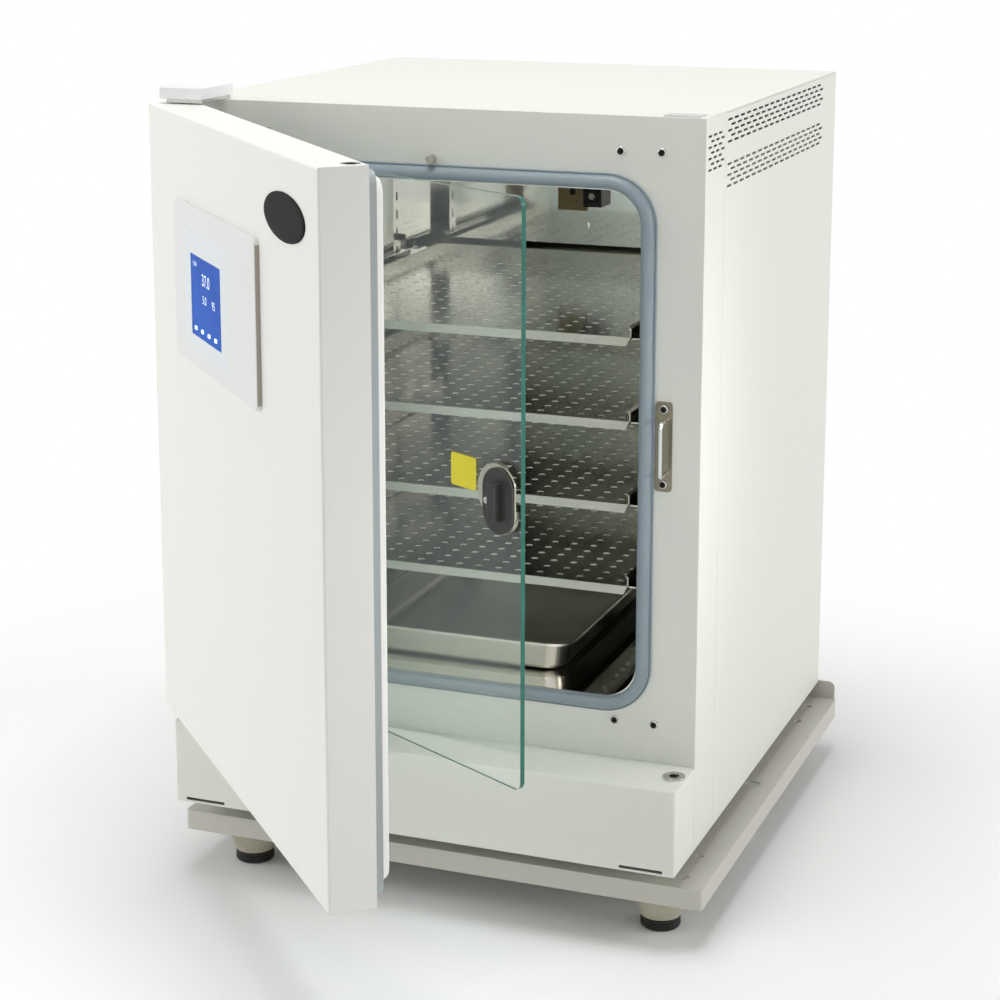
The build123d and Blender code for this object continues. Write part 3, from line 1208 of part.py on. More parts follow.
def base_tray():
    """Folded tray under the cabinet with a raised back edge."""
    x0, x1 = TRAY_OFFSET - TRAY_WIDTH / 2, TRAY_OFFSET + TRAY_WIDTH / 2
    back = TRAY_BACK + TRAY_SHEET
    tray = block(x0, x1, -TRAY_FRONT, back, TRAY_BOTTOM, TRAY_TOP)
    tray = fillet(tray.edges().filter_by(Axis.Z), TRAY_CORNER)
    tray -= block(x0 + TRAY_SHEET, x1 - TRAY_SHEET, TRAY_SHEET - TRAY_FRONT, back - TRAY_SHEET,
                  TRAY_BOTTOM - 1, TRAY_TOP - TRAY_SHEET)
    tab = block(x0 + TRAY_SHEET, x1 - TRAY_SHEET, TRAY_BACK, back, TRAY_TOP, TRAY_TOP + TRAY_TAB_HEIGHT)
    tab_ends = tab.faces().sort_by(Axis.Z)[-1].edges().filter_by(Axis.Y)
    tray += fillet(tab_ends, TRAY_TAB_CORNER)
    small, large = tray_holes()
    for x, y in small:
        tray -= disc(x, y, TRAY_HOLE_RADIUS, TRAY_TOP - 2 * TRAY_SHEET, TRAY_TOP + 1)
    for x, y in large:
        tray -= disc(x, y, TRAY_PORT_RADIUS, TRAY_TOP - 2 * TRAY_SHEET, TRAY_TOP + 1)
    return tray


def cabinet_feet():
    """Short feet between the cabinet and the tray."""
    half = HALF_WIDTH - CABINET_FOOT_INSET
    feet = []
    for y in (CABINET_FOOT_INSET, CABINET_DEPTH - CABINET_FOOT_INSET):
        feet += [disc(x, y, CABINET_FOOT_RADIUS, TRAY_TOP, 0) for x in (-half, half)]
    return Compound(feet)


def foot_cups():
    """Housings of the levelling feet under the tray, tapering downwards."""
    cups = []
    for x, y in foot_places():
        low, high = TRAY_BOTTOM - CUP_HEIGHT, TRAY_TOP - TRAY_SHEET
        profile = Polygon((0, low), (CUP_LOWER_RADIUS, low), (CUP_RADIUS, TRAY_BOTTOM - CUP_STRAIGHT),
                          (CUP_RADIUS, TRAY_BOTTOM), (CUP_LOWER_RADIUS, TRAY_BOTTOM),
                          (CUP_LOWER_RADIUS, high), (0, high), align=None)
        cup = revolve(Plane.XZ * profile, Axis.Z)
        cup -= disc(0, 0, FOOT_STUD_RADIUS + BEARING, low - 1, high - CUP_ROOF)
        cup -= block(CUP_SLOT_RIGHT - CUP_SLOT_LENGTH, CUP_SLOT_RIGHT, -CUP_RADIUS - 1,
                     CUP_SLOT_DEPTH - CUP_RADIUS, TRAY_BOTTOM - CUP_SLOT_HEIGHT - 1, TRAY_BOTTOM - 1)
        cups.append(Pos(x, y, 0) * cup)
    return Compound(cups)


def levelling_foot(place):
    """Rubber foot on its threaded stud."""
    x, y = place
    top = FLOOR + FOOT_THICKNESS - RUNNING
    pad = disc(x, y, FOOT_RADIUS, FLOOR, top)
    pad = fillet(pad.edges().group_by(Axis.Z)[0], FOOT_ROUNDING)
    return pad + disc(x, y, FOOT_STUD_RADIUS, top, TRAY_TOP - TRAY_SHEET - 2 * CUP_ROOF)


def cabinet_pieces():
    """Everything that stands still."""
    return {
        "front_panel": front_panel(),
        "side_panel_left": side_panel(-1),
        "side_panel_right": side_panel(1),
        "top_panel": top_panel(),
        "rear_panel": rear_panel(),
        "bottom_panel": bottom_panel(),
        "ledge_cover": ledge_cover(),
        "lower_hinge_plate": lower_hinge_plate(),
        "spare_hinge_fittings": spare_hinge_fittings(),
        "upper_hinge_bracket": upper_hinge_bracket(),
        "hinge_cap": hinge_cap(),
        "chamber_liner": chamber_liner(),
        "chamber_gasket": chamber_gasket(),
        "heater_mats": heater_mats(),
        "insulation_jacket": insulation_jacket(),
        "shelf_standards": shelf_standards(),
        "shelf_supports": shelf_supports(),
        "fan_shroud": fan_shroud(),
        "fan_motor": fan_motor(),
        "sensor_plate": sensor_plate(),
        "sensor_block": sensor_block(),
        "back_wall_plug": back_wall_plug(),
        "glass_hinge_brackets": glass_hinge_brackets(),
        "strike_plate": strike_plate(),
        "front_screws": front_screws(),
        "access_port": access_port(),
        "gas_inlet": gas_inlet(),
        "power_inlet": power_inlet(),
        "control_board": control_board(),
        "power_supply": power_supply(),
        "base_tray": base_tray(),
        "cabinet_feet": cabinet_feet(),
        "foot_cups": foot_cups(),
    }


def outer_door_pieces():
    """The outer door, opened to its rest angle."""
    closed = {
        "outer_door_shell": outer_door_shell(),
        "outer_door_inner_panel": outer_door_inner_panel(),
        "outer_door_core": outer_door_core(),
        "outer_door_gasket": outer_door_gasket(),
        "door_bushes": door_bushes(),
        "display_bezel": display_bezel(),
        "display_window": display_window(),
        "display_screen": display_screen(),
        "badge_plate": badge_plate(),
    }
    pivot = (PIVOT_X, -PIVOT_SETBACK, DOOR_REST_ANGLE)
    return {name: swung(shape, *pivot) for name, shape in closed.items()}


def glass_door_pieces():
    """The glass door with its latch, opened to its rest angle."""
    closed = {
        "glass_pane": glass_pane(),
        "glass_hinge_fittings": glass_hinge_fittings(),
        "latch_housing": latch_housing(),
        "latch_knob": latch_knob(),
        "latch_tongue": latch_tongue(),
    }
    pivot = (GLASS_LEFT, -GLASS_PIVOT_Y, GLASS_REST_ANGLE)
    return {name: swung(shape, *pivot) for name, shape in closed.items()}


def loose_pieces():
    """Pieces that slide or turn on their own."""
    pieces = {f"shelf_{index}": shelf(index) for index in range(1, SHELF_COUNT + 1)}
    pieces["water_pan"] = water_pan()
    pieces["fan_wheel"] = fan_wheel()
    pieces["door_sensor_button"] = door_sensor_button()
    pieces["port_stopper"] = port_stopper()
    pieces["power_rocker"] = power_rocker()
    names = ("foot_front_left", "foot_front_right", "foot_back_left", "foot_back_right")
    for name, place in zip(names, foot_places()):
        pieces[name] = levelling_foot(place)
    return pieces


def part_origin():
    """The floor point under the middle of the whole part, doors ajar."""
    pivot = (PIVOT_X, -PIVOT_SETBACK, DOOR_REST_ANGLE)
    left = swung_point(DOOR_LEFT, -DOOR_FACE, *pivot)[0]
    front = swung_point(DOOR_LEFT + DOOR_WIDTH, -DOOR_FACE, *pivot)[1]
    right = TRAY_OFFSET + TRAY_WIDTH / 2
    back = CABINET_DEPTH + GAS_FLANGE_THICKNESS + GAS_BARB_LENGTH
    return (left + right) / 2, (front + back) / 2, FLOOR


def main():
    os.makedirs("parts", exist_ok=True)
    x, y, z = part_origin()
    pieces = cabinet_pieces() | outer_door_pieces() | glass_door_pieces() | loose_pieces()
    for name, shape in pieces.items():
        export_step(Pos(-x, -y, -z) * shape, f"parts/{name}.step")
    print(len(pieces), "nodes; origin at", round(x, 3), round(y, 3), round(z, 3), "in the cabinet's frame")


if __name__ == "__main__":
    main()
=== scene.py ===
# %% [markdown]
# A laboratory incubator, dressed for its portrait.
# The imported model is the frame: sheet metal, doors, hinges and feet at their real size and place.
# This script gives every node its finish, and models again the pieces that need finer shapes
# than a solid model holds, such as the perforated shelves, the glass, the latch and the seals.

import json
import math

import bmesh
import bpy
from mathutils import Matrix, Vector


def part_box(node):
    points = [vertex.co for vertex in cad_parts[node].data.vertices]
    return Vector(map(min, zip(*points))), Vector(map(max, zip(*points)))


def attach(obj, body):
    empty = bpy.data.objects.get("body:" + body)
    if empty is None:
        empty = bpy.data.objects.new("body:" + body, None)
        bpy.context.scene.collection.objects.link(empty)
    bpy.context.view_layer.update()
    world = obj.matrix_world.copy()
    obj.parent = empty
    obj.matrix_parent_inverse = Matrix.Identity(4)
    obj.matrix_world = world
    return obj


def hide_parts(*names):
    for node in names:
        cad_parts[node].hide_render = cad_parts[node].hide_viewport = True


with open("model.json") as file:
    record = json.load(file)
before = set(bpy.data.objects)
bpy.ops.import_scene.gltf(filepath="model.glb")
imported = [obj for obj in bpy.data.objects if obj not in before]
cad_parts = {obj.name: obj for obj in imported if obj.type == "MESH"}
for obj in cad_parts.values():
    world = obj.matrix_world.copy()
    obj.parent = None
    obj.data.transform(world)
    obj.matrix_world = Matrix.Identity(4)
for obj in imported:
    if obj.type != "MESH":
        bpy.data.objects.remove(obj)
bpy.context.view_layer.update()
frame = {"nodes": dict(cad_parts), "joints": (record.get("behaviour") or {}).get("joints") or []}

# %% [markdown]
# Sizes are easiest to think of as a maker would: in millimetres, from the middle of the cabinet's
# front panel at its lower edge, with X to the right, Y to the back and Z up. The frame's own origin
# lies elsewhere, so one function turns such a place into the frame's metres.

# %% Millimetres on the cabinet
MM = 0.001
panel_low, panel_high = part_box("front_panel")
CORNER = Vector(((panel_low.x + panel_high.x) / 2, panel_low.y, panel_low.z))


def at(x, y, z):
    """A place on the cabinet, in millimetres, as a place in the frame, in metres."""
    return CORNER + Vector((x, y, z)) * MM


def on_cabinet(place):
    """A place in the frame, in metres, as a place on the cabinet, in millimetres."""
    return (place - CORNER) / MM


print("front panel middle at", [round(v, 4) for v in CORNER])

# %% [markdown]
# Modelling by operators is modelling by hand: add a primitive, go into edit mode, select some
# faces or edges, then extrude, inset or bevel them. An operator acts on all that is selected,
# and the frame arrives selected, so each new piece starts with everything deselected.
# Selecting by place keeps the script readable: a test says which edges or faces are meant.


# %% Modelling helpers
def deselect():
    """Leaves edit mode and deselects every object."""
    if bpy.context.object and bpy.context.object.mode == "EDIT":
        bpy.ops.object.mode_set(mode="OBJECT")
    bpy.ops.object.select_all(action="DESELECT")


def only(piece):
    """Selects one piece alone and makes it active."""
    deselect()
    piece.select_set(True)
    bpy.context.view_layer.objects.active = piece


def settle():
    """Writes the active piece's place, turn and size into its mesh."""
    bpy.ops.object.transform_apply(location=True, rotation=True, scale=True)


def slab(x0, x1, y0, y1, z0, z1):
    """Adds a cube that fills the space between six planes."""
    deselect()
    middle = at((x0 + x1) / 2, (y0 + y1) / 2, (z0 + z1) / 2)
    bpy.ops.mesh.primitive_cube_add(
        size=1, location=middle, scale=((x1 - x0) * MM, (y1 - y0) * MM, (z1 - z0) * MM))
    settle()
    return bpy.context.object


def pick(piece, kind, test):
    """In edit mode, selects the corners, edges or faces whose middle passes a test."""
    bpy.ops.object.mode_set(mode="EDIT")
    bpy.ops.mesh.select_mode(type=kind)
    bpy.ops.mesh.select_all(action="DESELECT")
    mesh = bmesh.from_edit_mesh(piece.data)
    for part in {"VERT": mesh.verts, "EDGE": mesh.edges, "FACE": mesh.faces}[kind]:
        corners = [part.co] if kind == "VERT" else [corner.co for corner in part.verts]
        if test(*on_cabinet(sum(corners, Vector()) / len(corners))):
            part.select_set(True)
    mesh.select_flush_mode()
    bmesh.update_edit_mesh(piece.data)


def near(a, b):
    """True if two lengths are the same to a twentieth of a millimetre."""
    return abs(a - b) < 0.05


def pull(x, y, z):
    """Extrudes what is selected and moves it, in millimetres."""
    bpy.ops.mesh.extrude_region_move(TRANSFORM_OT_translate={"value": (x * MM, y * MM, z * MM)})


def rounded_face(x0, x1, z0, z1, y, corner, segments=8, to_front=True):
    """Adds a flat face with rounded corners in the front view."""
    deselect()
    turn = math.radians(90 if to_front else -90)
    bpy.ops.mesh.primitive_plane_add(
        size=1, location=at((x0 + x1) / 2, y, (z0 + z1) / 2), rotation=(turn, 0, 0))
    face = bpy.context.object
    face.scale = ((x1 - x0) * MM, (z1 - z0) * MM, 1)
    settle()
    pick(face, "VERT", lambda x, y, z: True)
    bpy.ops.mesh.bevel(offset=corner * MM, segments=segments, affect="VERTICES")
    bpy.ops.mesh.select_mode(type="FACE")
    bpy.ops.mesh.select_all(action="SELECT")
    return face


def soften(piece, width, segments=2, angle=40):
    """Rounds every edge that is sharper than an angle."""
    bpy.ops.object.mode_set(mode="OBJECT")
    bevel = piece.modifiers.new("soft edges", "BEVEL")
    bevel.width = width * MM
    bevel.segments = segments
    bevel.limit_method = "ANGLE"
    bevel.angle_limit = math.radians(angle)
    bpy.ops.object.modifier_apply(modifier=bevel.name)


def thicken(piece, width):
    """Gives an open sheet its thickness, behind its faces."""
    bpy.ops.object.mode_set(mode="OBJECT")
    sheet = piece.modifiers.new("sheet", "SOLIDIFY")
    sheet.thickness = width * MM
    sheet.offset = -1
    bpy.ops.object.modifier_apply(modifier=sheet.name)


def cut(piece, tool, operation="DIFFERENCE"):
    """Cuts a piece by a tool, or joins the two, and removes the tool."""
    bpy.ops.object.mode_set(mode="OBJECT")
    bpy.context.view_layer.objects.active = piece
    change = piece.modifiers.new("cut", "BOOLEAN")
    change.operation = operation
    change.object = tool
    change.solver = "EXACT"
    bpy.ops.object.modifier_apply(modifier=change.name)
    bpy.data.objects.remove(tool)
    deselect()
    piece.select_set(True)


def turned(profile, x, y, z, vertices=48):
    """Turns an upright round piece: a cylinder whose top is extruded and resized, ring by ring."""
    deselect()
    (radius, low), (_, high) = profile[:2]
    bpy.ops.mesh.primitive_cylinder_add(
        vertices=vertices, radius=radius * MM, depth=(high - low) * MM,
        location=at(x, y, z + (low + high) / 2))
    settle()
    piece = bpy.context.object
    pick(piece, "FACE", lambda px, py, pz: near(pz, z + high))
    for next_radius, next_high in profile[2:]:
        pull(0, 0, next_high - high)
        change = next_radius / radius
        bpy.ops.transform.resize(value=(change, change, 1), center_override=at(x, y, z + next_high))
        radius, high = next_radius, next_high
    return piece


def lay(piece, x, y, z, turn, axis="X"):
    """Turns a piece about a place on the cabinet."""
    only(piece)
    place = Matrix.Translation(at(x, y, z))
    piece.matrix_world = place @ Matrix.Rotation(math.radians(turn), 4, axis) @ place.inverted()
    settle()


def place_at(piece, x, y, z):
    """Moves a piece by some millimetres, inside its mesh."""
    only(piece)
    piece.location = Vector((x, y, z)) * MM
    settle()


def copy_of(piece, x=0, y=0, z=0):
    """A copy with its own mesh, moved by some millimetres."""
    only(piece)
    bpy.ops.object.duplicate(linked=False)
    double = bpy.context.object
    place_at(double, x, y, z)
    return double


def join(pieces):
    """Joins pieces into the first one."""
    deselect()
    for piece in pieces:
        piece.select_set(True)
    bpy.context.view_layer.objects.active = pieces[0]
    bpy.ops.object.join()
    return pieces[0]


# %% [markdown]
# The two doors stand ajar in the photograph. Their pieces are easier to model with the door
# closed, flat against the cabinet, and then swung open about the hinge to the same angle as the
# frame's doors. The hinge's place comes from the frame's joint.

# %% Hanging the doors' pieces
OPENING = {"outer_door": 47.0, "glass_door": 28.9}
HINGES = {joint["child"]: Vector(joint["pos_m"]) for joint in frame["joints"]
          if joint["name"].endswith("door_hinge")}


def door_turn(door, degrees):
    """The turn about a door's hinge, anticlockwise from above."""
    hinge = Matrix.Translation(HINGES[door])
    return hinge @ Matrix.Rotation(math.radians(degrees), 4, "Z") @ hinge.inverted()


def swing(piece, door):
    """Opens a piece that was modelled on the closed door."""
    only(piece)
    piece.matrix_world = door_turn(door, -OPENING[door])
    settle()


def paint_faces(piece, slot, test, door=None):
    """Gives the faces whose middle, with the door closed, passes a test another of its materials."""
    shut = door_turn(door, OPENING[door]) if door else Matrix.Identity(4)
    for face in piece.data.polygons:
        if test(*on_cabinet(shut @ face.center)):
            face.material_index = slot


def complete(piece, name, body, finish, replaces=(), door=None, smooth=35, extra=()):
    """Swings, names, smooths and paints a finished piece, and hangs it on its body."""
    bpy.ops.object.mode_set(mode="OBJECT")
    if door:
        swing(piece, door)
    only(piece)
    bpy.ops.object.shade_smooth_by_angle(angle=math.radians(smooth))
    flat = piece.modifiers.new("flat faces stay flat", "WEIGHTED_NORMAL")
    flat.keep_sharp = True
    bpy.ops.object.modifier_apply(modifier=flat.name)
    piece.name = name
    piece.data.name = name
    piece.data.materials.clear()
    for paint in (finish, *extra):
        piece.data.materials.append(paint)
    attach(piece, body)
    if replaces:
        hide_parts(*replaces)
    print(name, len(piece.data.polygons), "faces on", body)
    return piece


# %% [markdown]
# Colours are picked as sRGB hex values, as a screen shows them. The renderer works in linear
# light, so one function turns each value. Another adds a shader node with its settings, its plain
# values and its links, which keeps every material short.


# %% Colour and node helpers
def linear(code):
    """An sRGB hex colour as linear red, green, blue and alpha."""
    channels = [int(code[i:i + 2], 16) / 255 for i in (1, 3, 5)]
    return (*[c / 12.92 if c <= 0.04045 else ((c + 0.055) / 1.055) ** 2.4 for c in channels], 1.0)


def add_node(material, kind, values=None, links=None, **settings):
    """Adds one node to a material, with its settings, socket values and incoming links."""
    node = material.node_tree.nodes.new(kind)
    for name, value in settings.items():
        setattr(node, name, value)
    for name, value in (values or {}).items():
        node.inputs[name].default_value = value
    for name, source in (links or {}).items():
        material.node_tree.links.new(source, node.inputs[name])
    return node


def new_material(name):
    """An empty material with its output node."""
    material = bpy.data.materials.new(name)
    material.use_nodes = True
    material.node_tree.nodes.clear()
    output = add_node(material, "ShaderNodeOutputMaterial")
    return material, output


def blend(material, output, share, first, second):
    """Mixes two shaders by a share and leads the result to the material's output."""
    mix = add_node(material, "ShaderNodeMixShader", {}, {"Fac": share})
    material.node_tree.links.new(first, mix.inputs[1])
    material.node_tree.links.new(second, mix.inputs[2])
    material.node_tree.links.new(mix.outputs["Shader"], output.inputs["Surface"])


def surface(name, colour, roughness, metallic=0.0, grain_mm=1.0, grain_depth_mm=0.02, mottle=0.02,
            mottle_mm=60.0, stretch=(1, 1, 1), edge_mm=0.0, rough_spread=0.05, **sockets):
    """A solid surface: mottled colour, uneven roughness, a fine grain and slightly rounded edges."""
    material, output = new_material(name)
    place = add_node(material, "ShaderNodeTexCoord").outputs["Object"]
    mapped = add_node(material, "ShaderNodeMapping", {"Scale": stretch}, {"Vector": place})
    cloud = add_node(material, "ShaderNodeTexNoise", {"Scale": 1000 / mottle_mm, "Detail": 3.0},
                     {"Vector": mapped.outputs["Vector"]})
    grain = add_node(material, "ShaderNodeTexNoise", {"Scale": 1000 / grain_mm, "Detail": 2.0},
                     {"Vector": mapped.outputs["Vector"]})
    base = linear(colour)
    tint = add_node(material, "ShaderNodeMix", data_type="RGBA", links={"Factor": cloud.outputs["Fac"]})
    tint.inputs["A"].default_value = (*[c * (1 - mottle) for c in base[:3]], 1)
    tint.inputs["B"].default_value = (*[min(1, c * (1 + mottle)) for c in base[:3]], 1)
    rough = add_node(material, "ShaderNodeMapRange",
                     {"To Min": roughness - rough_spread, "To Max": roughness + rough_spread},
                     {"Value": cloud.outputs["Fac"]})
    bump = add_node(material, "ShaderNodeBump", {"Strength": 1.0, "Distance": grain_depth_mm * MM},
                    {"Height": grain.outputs["Fac"]})
    if edge_mm:
        edge = add_node(material, "ShaderNodeBevel", {"Radius": edge_mm * MM}, samples=4)
        material.node_tree.links.new(edge.outputs["Normal"], bump.inputs["Normal"])
    shader = add_node(material, "ShaderNodeBsdfPrincipled", {"Metallic": metallic, **sockets},
                      {"Base Color": tint.outputs["Result"], "Roughness": rough.outputs["Result"],
                       "Normal": bump.outputs["Normal"]})
    material.node_tree.links.new(shader.outputs["BSDF"], output.inputs["Surface"])
    return material


# %% [markdown]
# The cabinet is folded steel sheet with a baked powder coat. Powder melts into a skin with a
# faint orange peel of about a millimetre, a soft gloss and slightly swollen edges. The peel is a
# noise bump, and the edges are rounded in the shading, because real folds are never razor sharp.

# %% Painted steel
cabinet_paint = surface("powder_coat_ivory", "#e1e3da", 0.42, grain_mm=1.4, grain_depth_mm=0.012,
                        mottle=0.012, edge_mm=1.2)
door_paint = surface("powder_coat_white", "#eaebe4", 0.40, grain_mm=1.4, grain_depth_mm=0.012,
                     mottle=0.010, edge_mm=0.8)
tray_paint = surface("powder_coat_grey_beige", "#c5c3ba", 0.45, grain_mm=1.2, grain_depth_mm=0.018,
                     mottle=0.02, edge_mm=1.2)
cup_paint = surface("cast_foot_cup_cream", "#bdb8a3", 0.50, grain_mm=3.0, grain_depth_mm=0.12,
                    mottle=0.22, mottle_mm=4.0, edge_mm=0.8)

# %% [markdown]
# Moulded plastics have a spark-eroded texture much finer than the paint's peel. The hinge cap,
# the door's inner panel and the display frame are ABS. Bushes and knob are harder acetal or
# nylon, darker and a little glossier.

# %% Moulded plastics
white_abs = surface("moulded_abs_white", "#eceded", 0.38, grain_mm=0.8, grain_depth_mm=0.01,
                    mottle=0.01, edge_mm=0.8)
bezel_abs = surface("moulded_abs_light_grey", "#dfe1df", 0.34, grain_mm=0.8, grain_depth_mm=0.008,
                    mottle=0.01, edge_mm=0.4)
window_acrylic = surface("printed_acrylic_blue_grey", "#d9e1e3", 0.16, grain_mm=4.0,
                         grain_depth_mm=0.004, mottle=0.01, edge_mm=0.3)
graphite_nylon = surface("moulded_nylon_graphite", "#3b3b39", 0.38, grain_mm=0.7, grain_depth_mm=0.01,
                         mottle=0.06, edge_mm=0.3, **{"Specular IOR Level": 0.35})
# The display frame's right side, turned away from the light, is painted a darker grey as painted shade; the
# moulding itself is one colour.
bezel_side_painted_shade = surface("display_frame_side_painted_shade", "#a39d91", 0.42, grain_mm=0.8, mottle=0.02)
black_nylon = surface("moulded_nylon_black", "#161615", 0.32, grain_mm=0.7, grain_depth_mm=0.02,
                      mottle=0.08, edge_mm=0.4, **{"Specular IOR Level": 0.3})
acetal_grey = surface("acetal_bush_dark_grey", "#3c3d3b", 0.40, grain_mm=1.0, mottle=0.05, edge_mm=0.4)
tan_plastic = surface("phenolic_tan", "#b09b68", 0.45, grain_mm=0.9, mottle=0.06, edge_mm=0.4)
port_plastic = surface("moulded_port_grey", "#b9bcb8", 0.42, grain_mm=0.9, mottle=0.03, edge_mm=0.5)
fan_nylon = surface("fan_nylon_grey", "#56585a", 0.45, grain_mm=0.9, mottle=0.05, edge_mm=0.4)
badge_enamel = surface("enamel_badge_black", "#10110e", 0.45, grain_mm=6.0, grain_depth_mm=0.004,
                       mottle=0.10, edge_mm=0.2, **{"Specular IOR Level": 0.04})

# %% [markdown]
# Stainless steel in the chamber is bright annealed or electropolished, so it mirrors the room
# with a slight blur. Rolling leaves fine streaks along the sheet. A punched hole's edge is rougher,
# and its wall is painted a brighter steel as a painted highlight, a small crescent of light. Chrome
# is smoother still, and satin nickel and stamped stainless are duller. Zinc-plated brackets have a
# cloudy finish, and the inside of a screw's socket is painted near-black as painted shade.

# %% Metals
chamber_steel = surface("bright_annealed_stainless", "#e0ded8", 0.06, 1.0, grain_mm=9.0,
                        grain_depth_mm=0.005, mottle=0.04, mottle_mm=25.0, stretch=(1, 1, 0.12),
                        rough_spread=0.02)
shelf_steel = surface("electropolished_stainless", "#c8c5bc", 0.15, 1.0, grain_mm=5.0,
                      grain_depth_mm=0.002, mottle=0.05, mottle_mm=30.0, stretch=(0.15, 1, 1),
                      rough_spread=0.04)
pan_steel = surface("deep_drawn_stainless", "#d9d6cb", 0.24, 1.0, grain_mm=8.0, grain_depth_mm=0.02,
                    mottle=0.05, mottle_mm=40.0, rough_spread=0.03)
zinc_steel = surface("zinc_plated_steel", "#c6c7c3", 0.27, 1.0, grain_mm=1.0, grain_depth_mm=0.01,
                     mottle=0.10, mottle_mm=6.0, edge_mm=0.3)
chrome = surface("polished_chrome", "#d6d7d4", 0.07, 1.0, grain_mm=20.0, grain_depth_mm=0.004,
                 mottle=0.03, edge_mm=0.2, rough_spread=0.02)
satin_nickel = surface("satin_nickel_plate", "#b9b5a6", 0.26, 1.0, grain_mm=2.0, grain_depth_mm=0.006,
                       mottle=0.04, edge_mm=0.3, rough_spread=0.03)
strike_steel = surface("stamped_stainless_brown_grey", "#8f8879", 0.24, 1.0, grain_mm=4.0,
                       grain_depth_mm=0.01, mottle=0.06, edge_mm=0.3, rough_spread=0.03)
# The hole's wall gets a brighter steel than the sheet: a painted highlight for the light its edge catches;
# only its rougher finish is real.
punched_edge_painted_highlight = surface("bright_edge_of_punched_hole", "#f3f2ec", 0.38, 1.0, grain_mm=1.0, mottle=0.05)
# Near-black steel inside a screw's socket is painted shade, the dark that the deep hexagon holds.
socket_painted_shade = surface("painted_shade_in_screw_socket", "#2b2a27", 0.45, 1.0, grain_mm=1.0, mottle=0.10)
motor_metal = surface("die_cast_motor_case", "#8c8e90", 0.45, 1.0, grain_mm=1.2, mottle=0.06,
                      edge_mm=0.5)
brass = surface("nickel_plated_brass", "#bdb39a", 0.25, 1.0, grain_mm=1.0, mottle=0.05, edge_mm=0.3)
heater_foil = surface("aluminium_heater_foil", "#c9cacc", 0.30, 1.0, grain_mm=3.0, mottle=0.05)

# %% [markdown]
# Silicone seals are matt and slightly translucent, with a silky highlight. The chamber's frame is
# blue grey. The outer door's magnetic seal is a paler grey; its outermost lip is painted white as a
# painted highlight. The stopper in the back is white silicone. Rubber feet are black and dusty.

# %% Rubbers and fillings
chamber_silicone = surface("silicone_blue_grey", "#87959d", 0.42, grain_mm=1.0, grain_depth_mm=0.01,
                           mottle=0.02, **{"Sheen Weight": 0.15, "Sheen Roughness": 0.4})
door_silicone = surface("silicone_pale_grey", "#a5adad", 0.45, grain_mm=1.0, grain_depth_mm=0.01,
                        mottle=0.02, **{"Sheen Weight": 0.15, "Sheen Roughness": 0.4})
# This white is the stopper's own colour; the door seal's outer lip also uses it as a painted highlight.
stopper_silicone = surface("white_silicone_and_seal_lip_highlight", "#ecece8", 0.5, grain_mm=1.5, mottle=0.03, edge_mm=0.8)
foot_rubber = surface("moulded_rubber_black", "#1a1815", 0.62, grain_mm=0.9, grain_depth_mm=0.04,
                      mottle=0.20, mottle_mm=8.0, edge_mm=0.6)
mineral_wool = surface("mineral_wool_yellow", "#c9b982", 0.95, grain_mm=2.5, grain_depth_mm=0.6,
                       mottle=0.2, mottle_mm=9.0)
door_foam = surface("polyurethane_foam_cream", "#d8cfa6", 0.9, grain_mm=1.5, grain_depth_mm=0.2,
                    mottle=0.1)
board_green = surface("epoxy_circuit_board_green", "#1f5b36", 0.4, grain_mm=3.0, mottle=0.15,
                      mottle_mm=7.0)
supply_metal = surface("galvanised_supply_case", "#a9adae", 0.35, 1.0, grain_mm=2.0, mottle=0.12,
                       mottle_mm=12.0, edge_mm=0.4)
sticker_yellow = surface("vinyl_sticker_yellow", "#f2e02a", 0.35, grain_mm=2.0, grain_depth_mm=0.005,
                         mottle=0.02)
sensor_white = surface("ceramic_sensor_white", "#e4e2d8", 0.5, grain_mm=0.6, mottle=0.03)

# %% [markdown]
# Tempered float glass is clear through its faces and blue green at its edge, where the eye looks
# along its whole width. A refracting shader gives the faces. Lamps can't shine through it in the
# renderer without slow caustics, so the glass is simply transparent to shadow rays.

# %% Glass and screen
float_glass, glass_output = new_material("tempered_float_glass")
glass_place = add_node(float_glass, "ShaderNodeTexCoord").outputs["Object"]
glass_smear = add_node(float_glass, "ShaderNodeTexNoise", {"Scale": 9.0, "Detail": 3.0},
                       {"Vector": glass_place})
glass_rough = add_node(float_glass, "ShaderNodeMapRange", {"To Min": 0.0, "To Max": 0.02},
                       {"Value": glass_smear.outputs["Fac"]})
glass_shader = add_node(float_glass, "ShaderNodeBsdfPrincipled",
                        {"Base Color": linear("#f7fbf9"), "IOR": 1.55, "Transmission Weight": 1.0},
                        {"Roughness": glass_rough.outputs["Result"]})
glass_rays = add_node(float_glass, "ShaderNodeLightPath")
glass_clear = add_node(float_glass, "ShaderNodeBsdfTransparent", {"Color": linear("#e2eee8")})
blend(float_glass, glass_output, glass_rays.outputs["Is Shadow Ray"],
      glass_shader.outputs["BSDF"], glass_clear.outputs["BSDF"])

glass_edge = surface("ground_glass_edge_teal", "#28695b", 0.12, grain_mm=3.0, grain_depth_mm=0.01,
                     mottle=0.30, mottle_mm=30.0, **{"Specular IOR Level": 0.35})

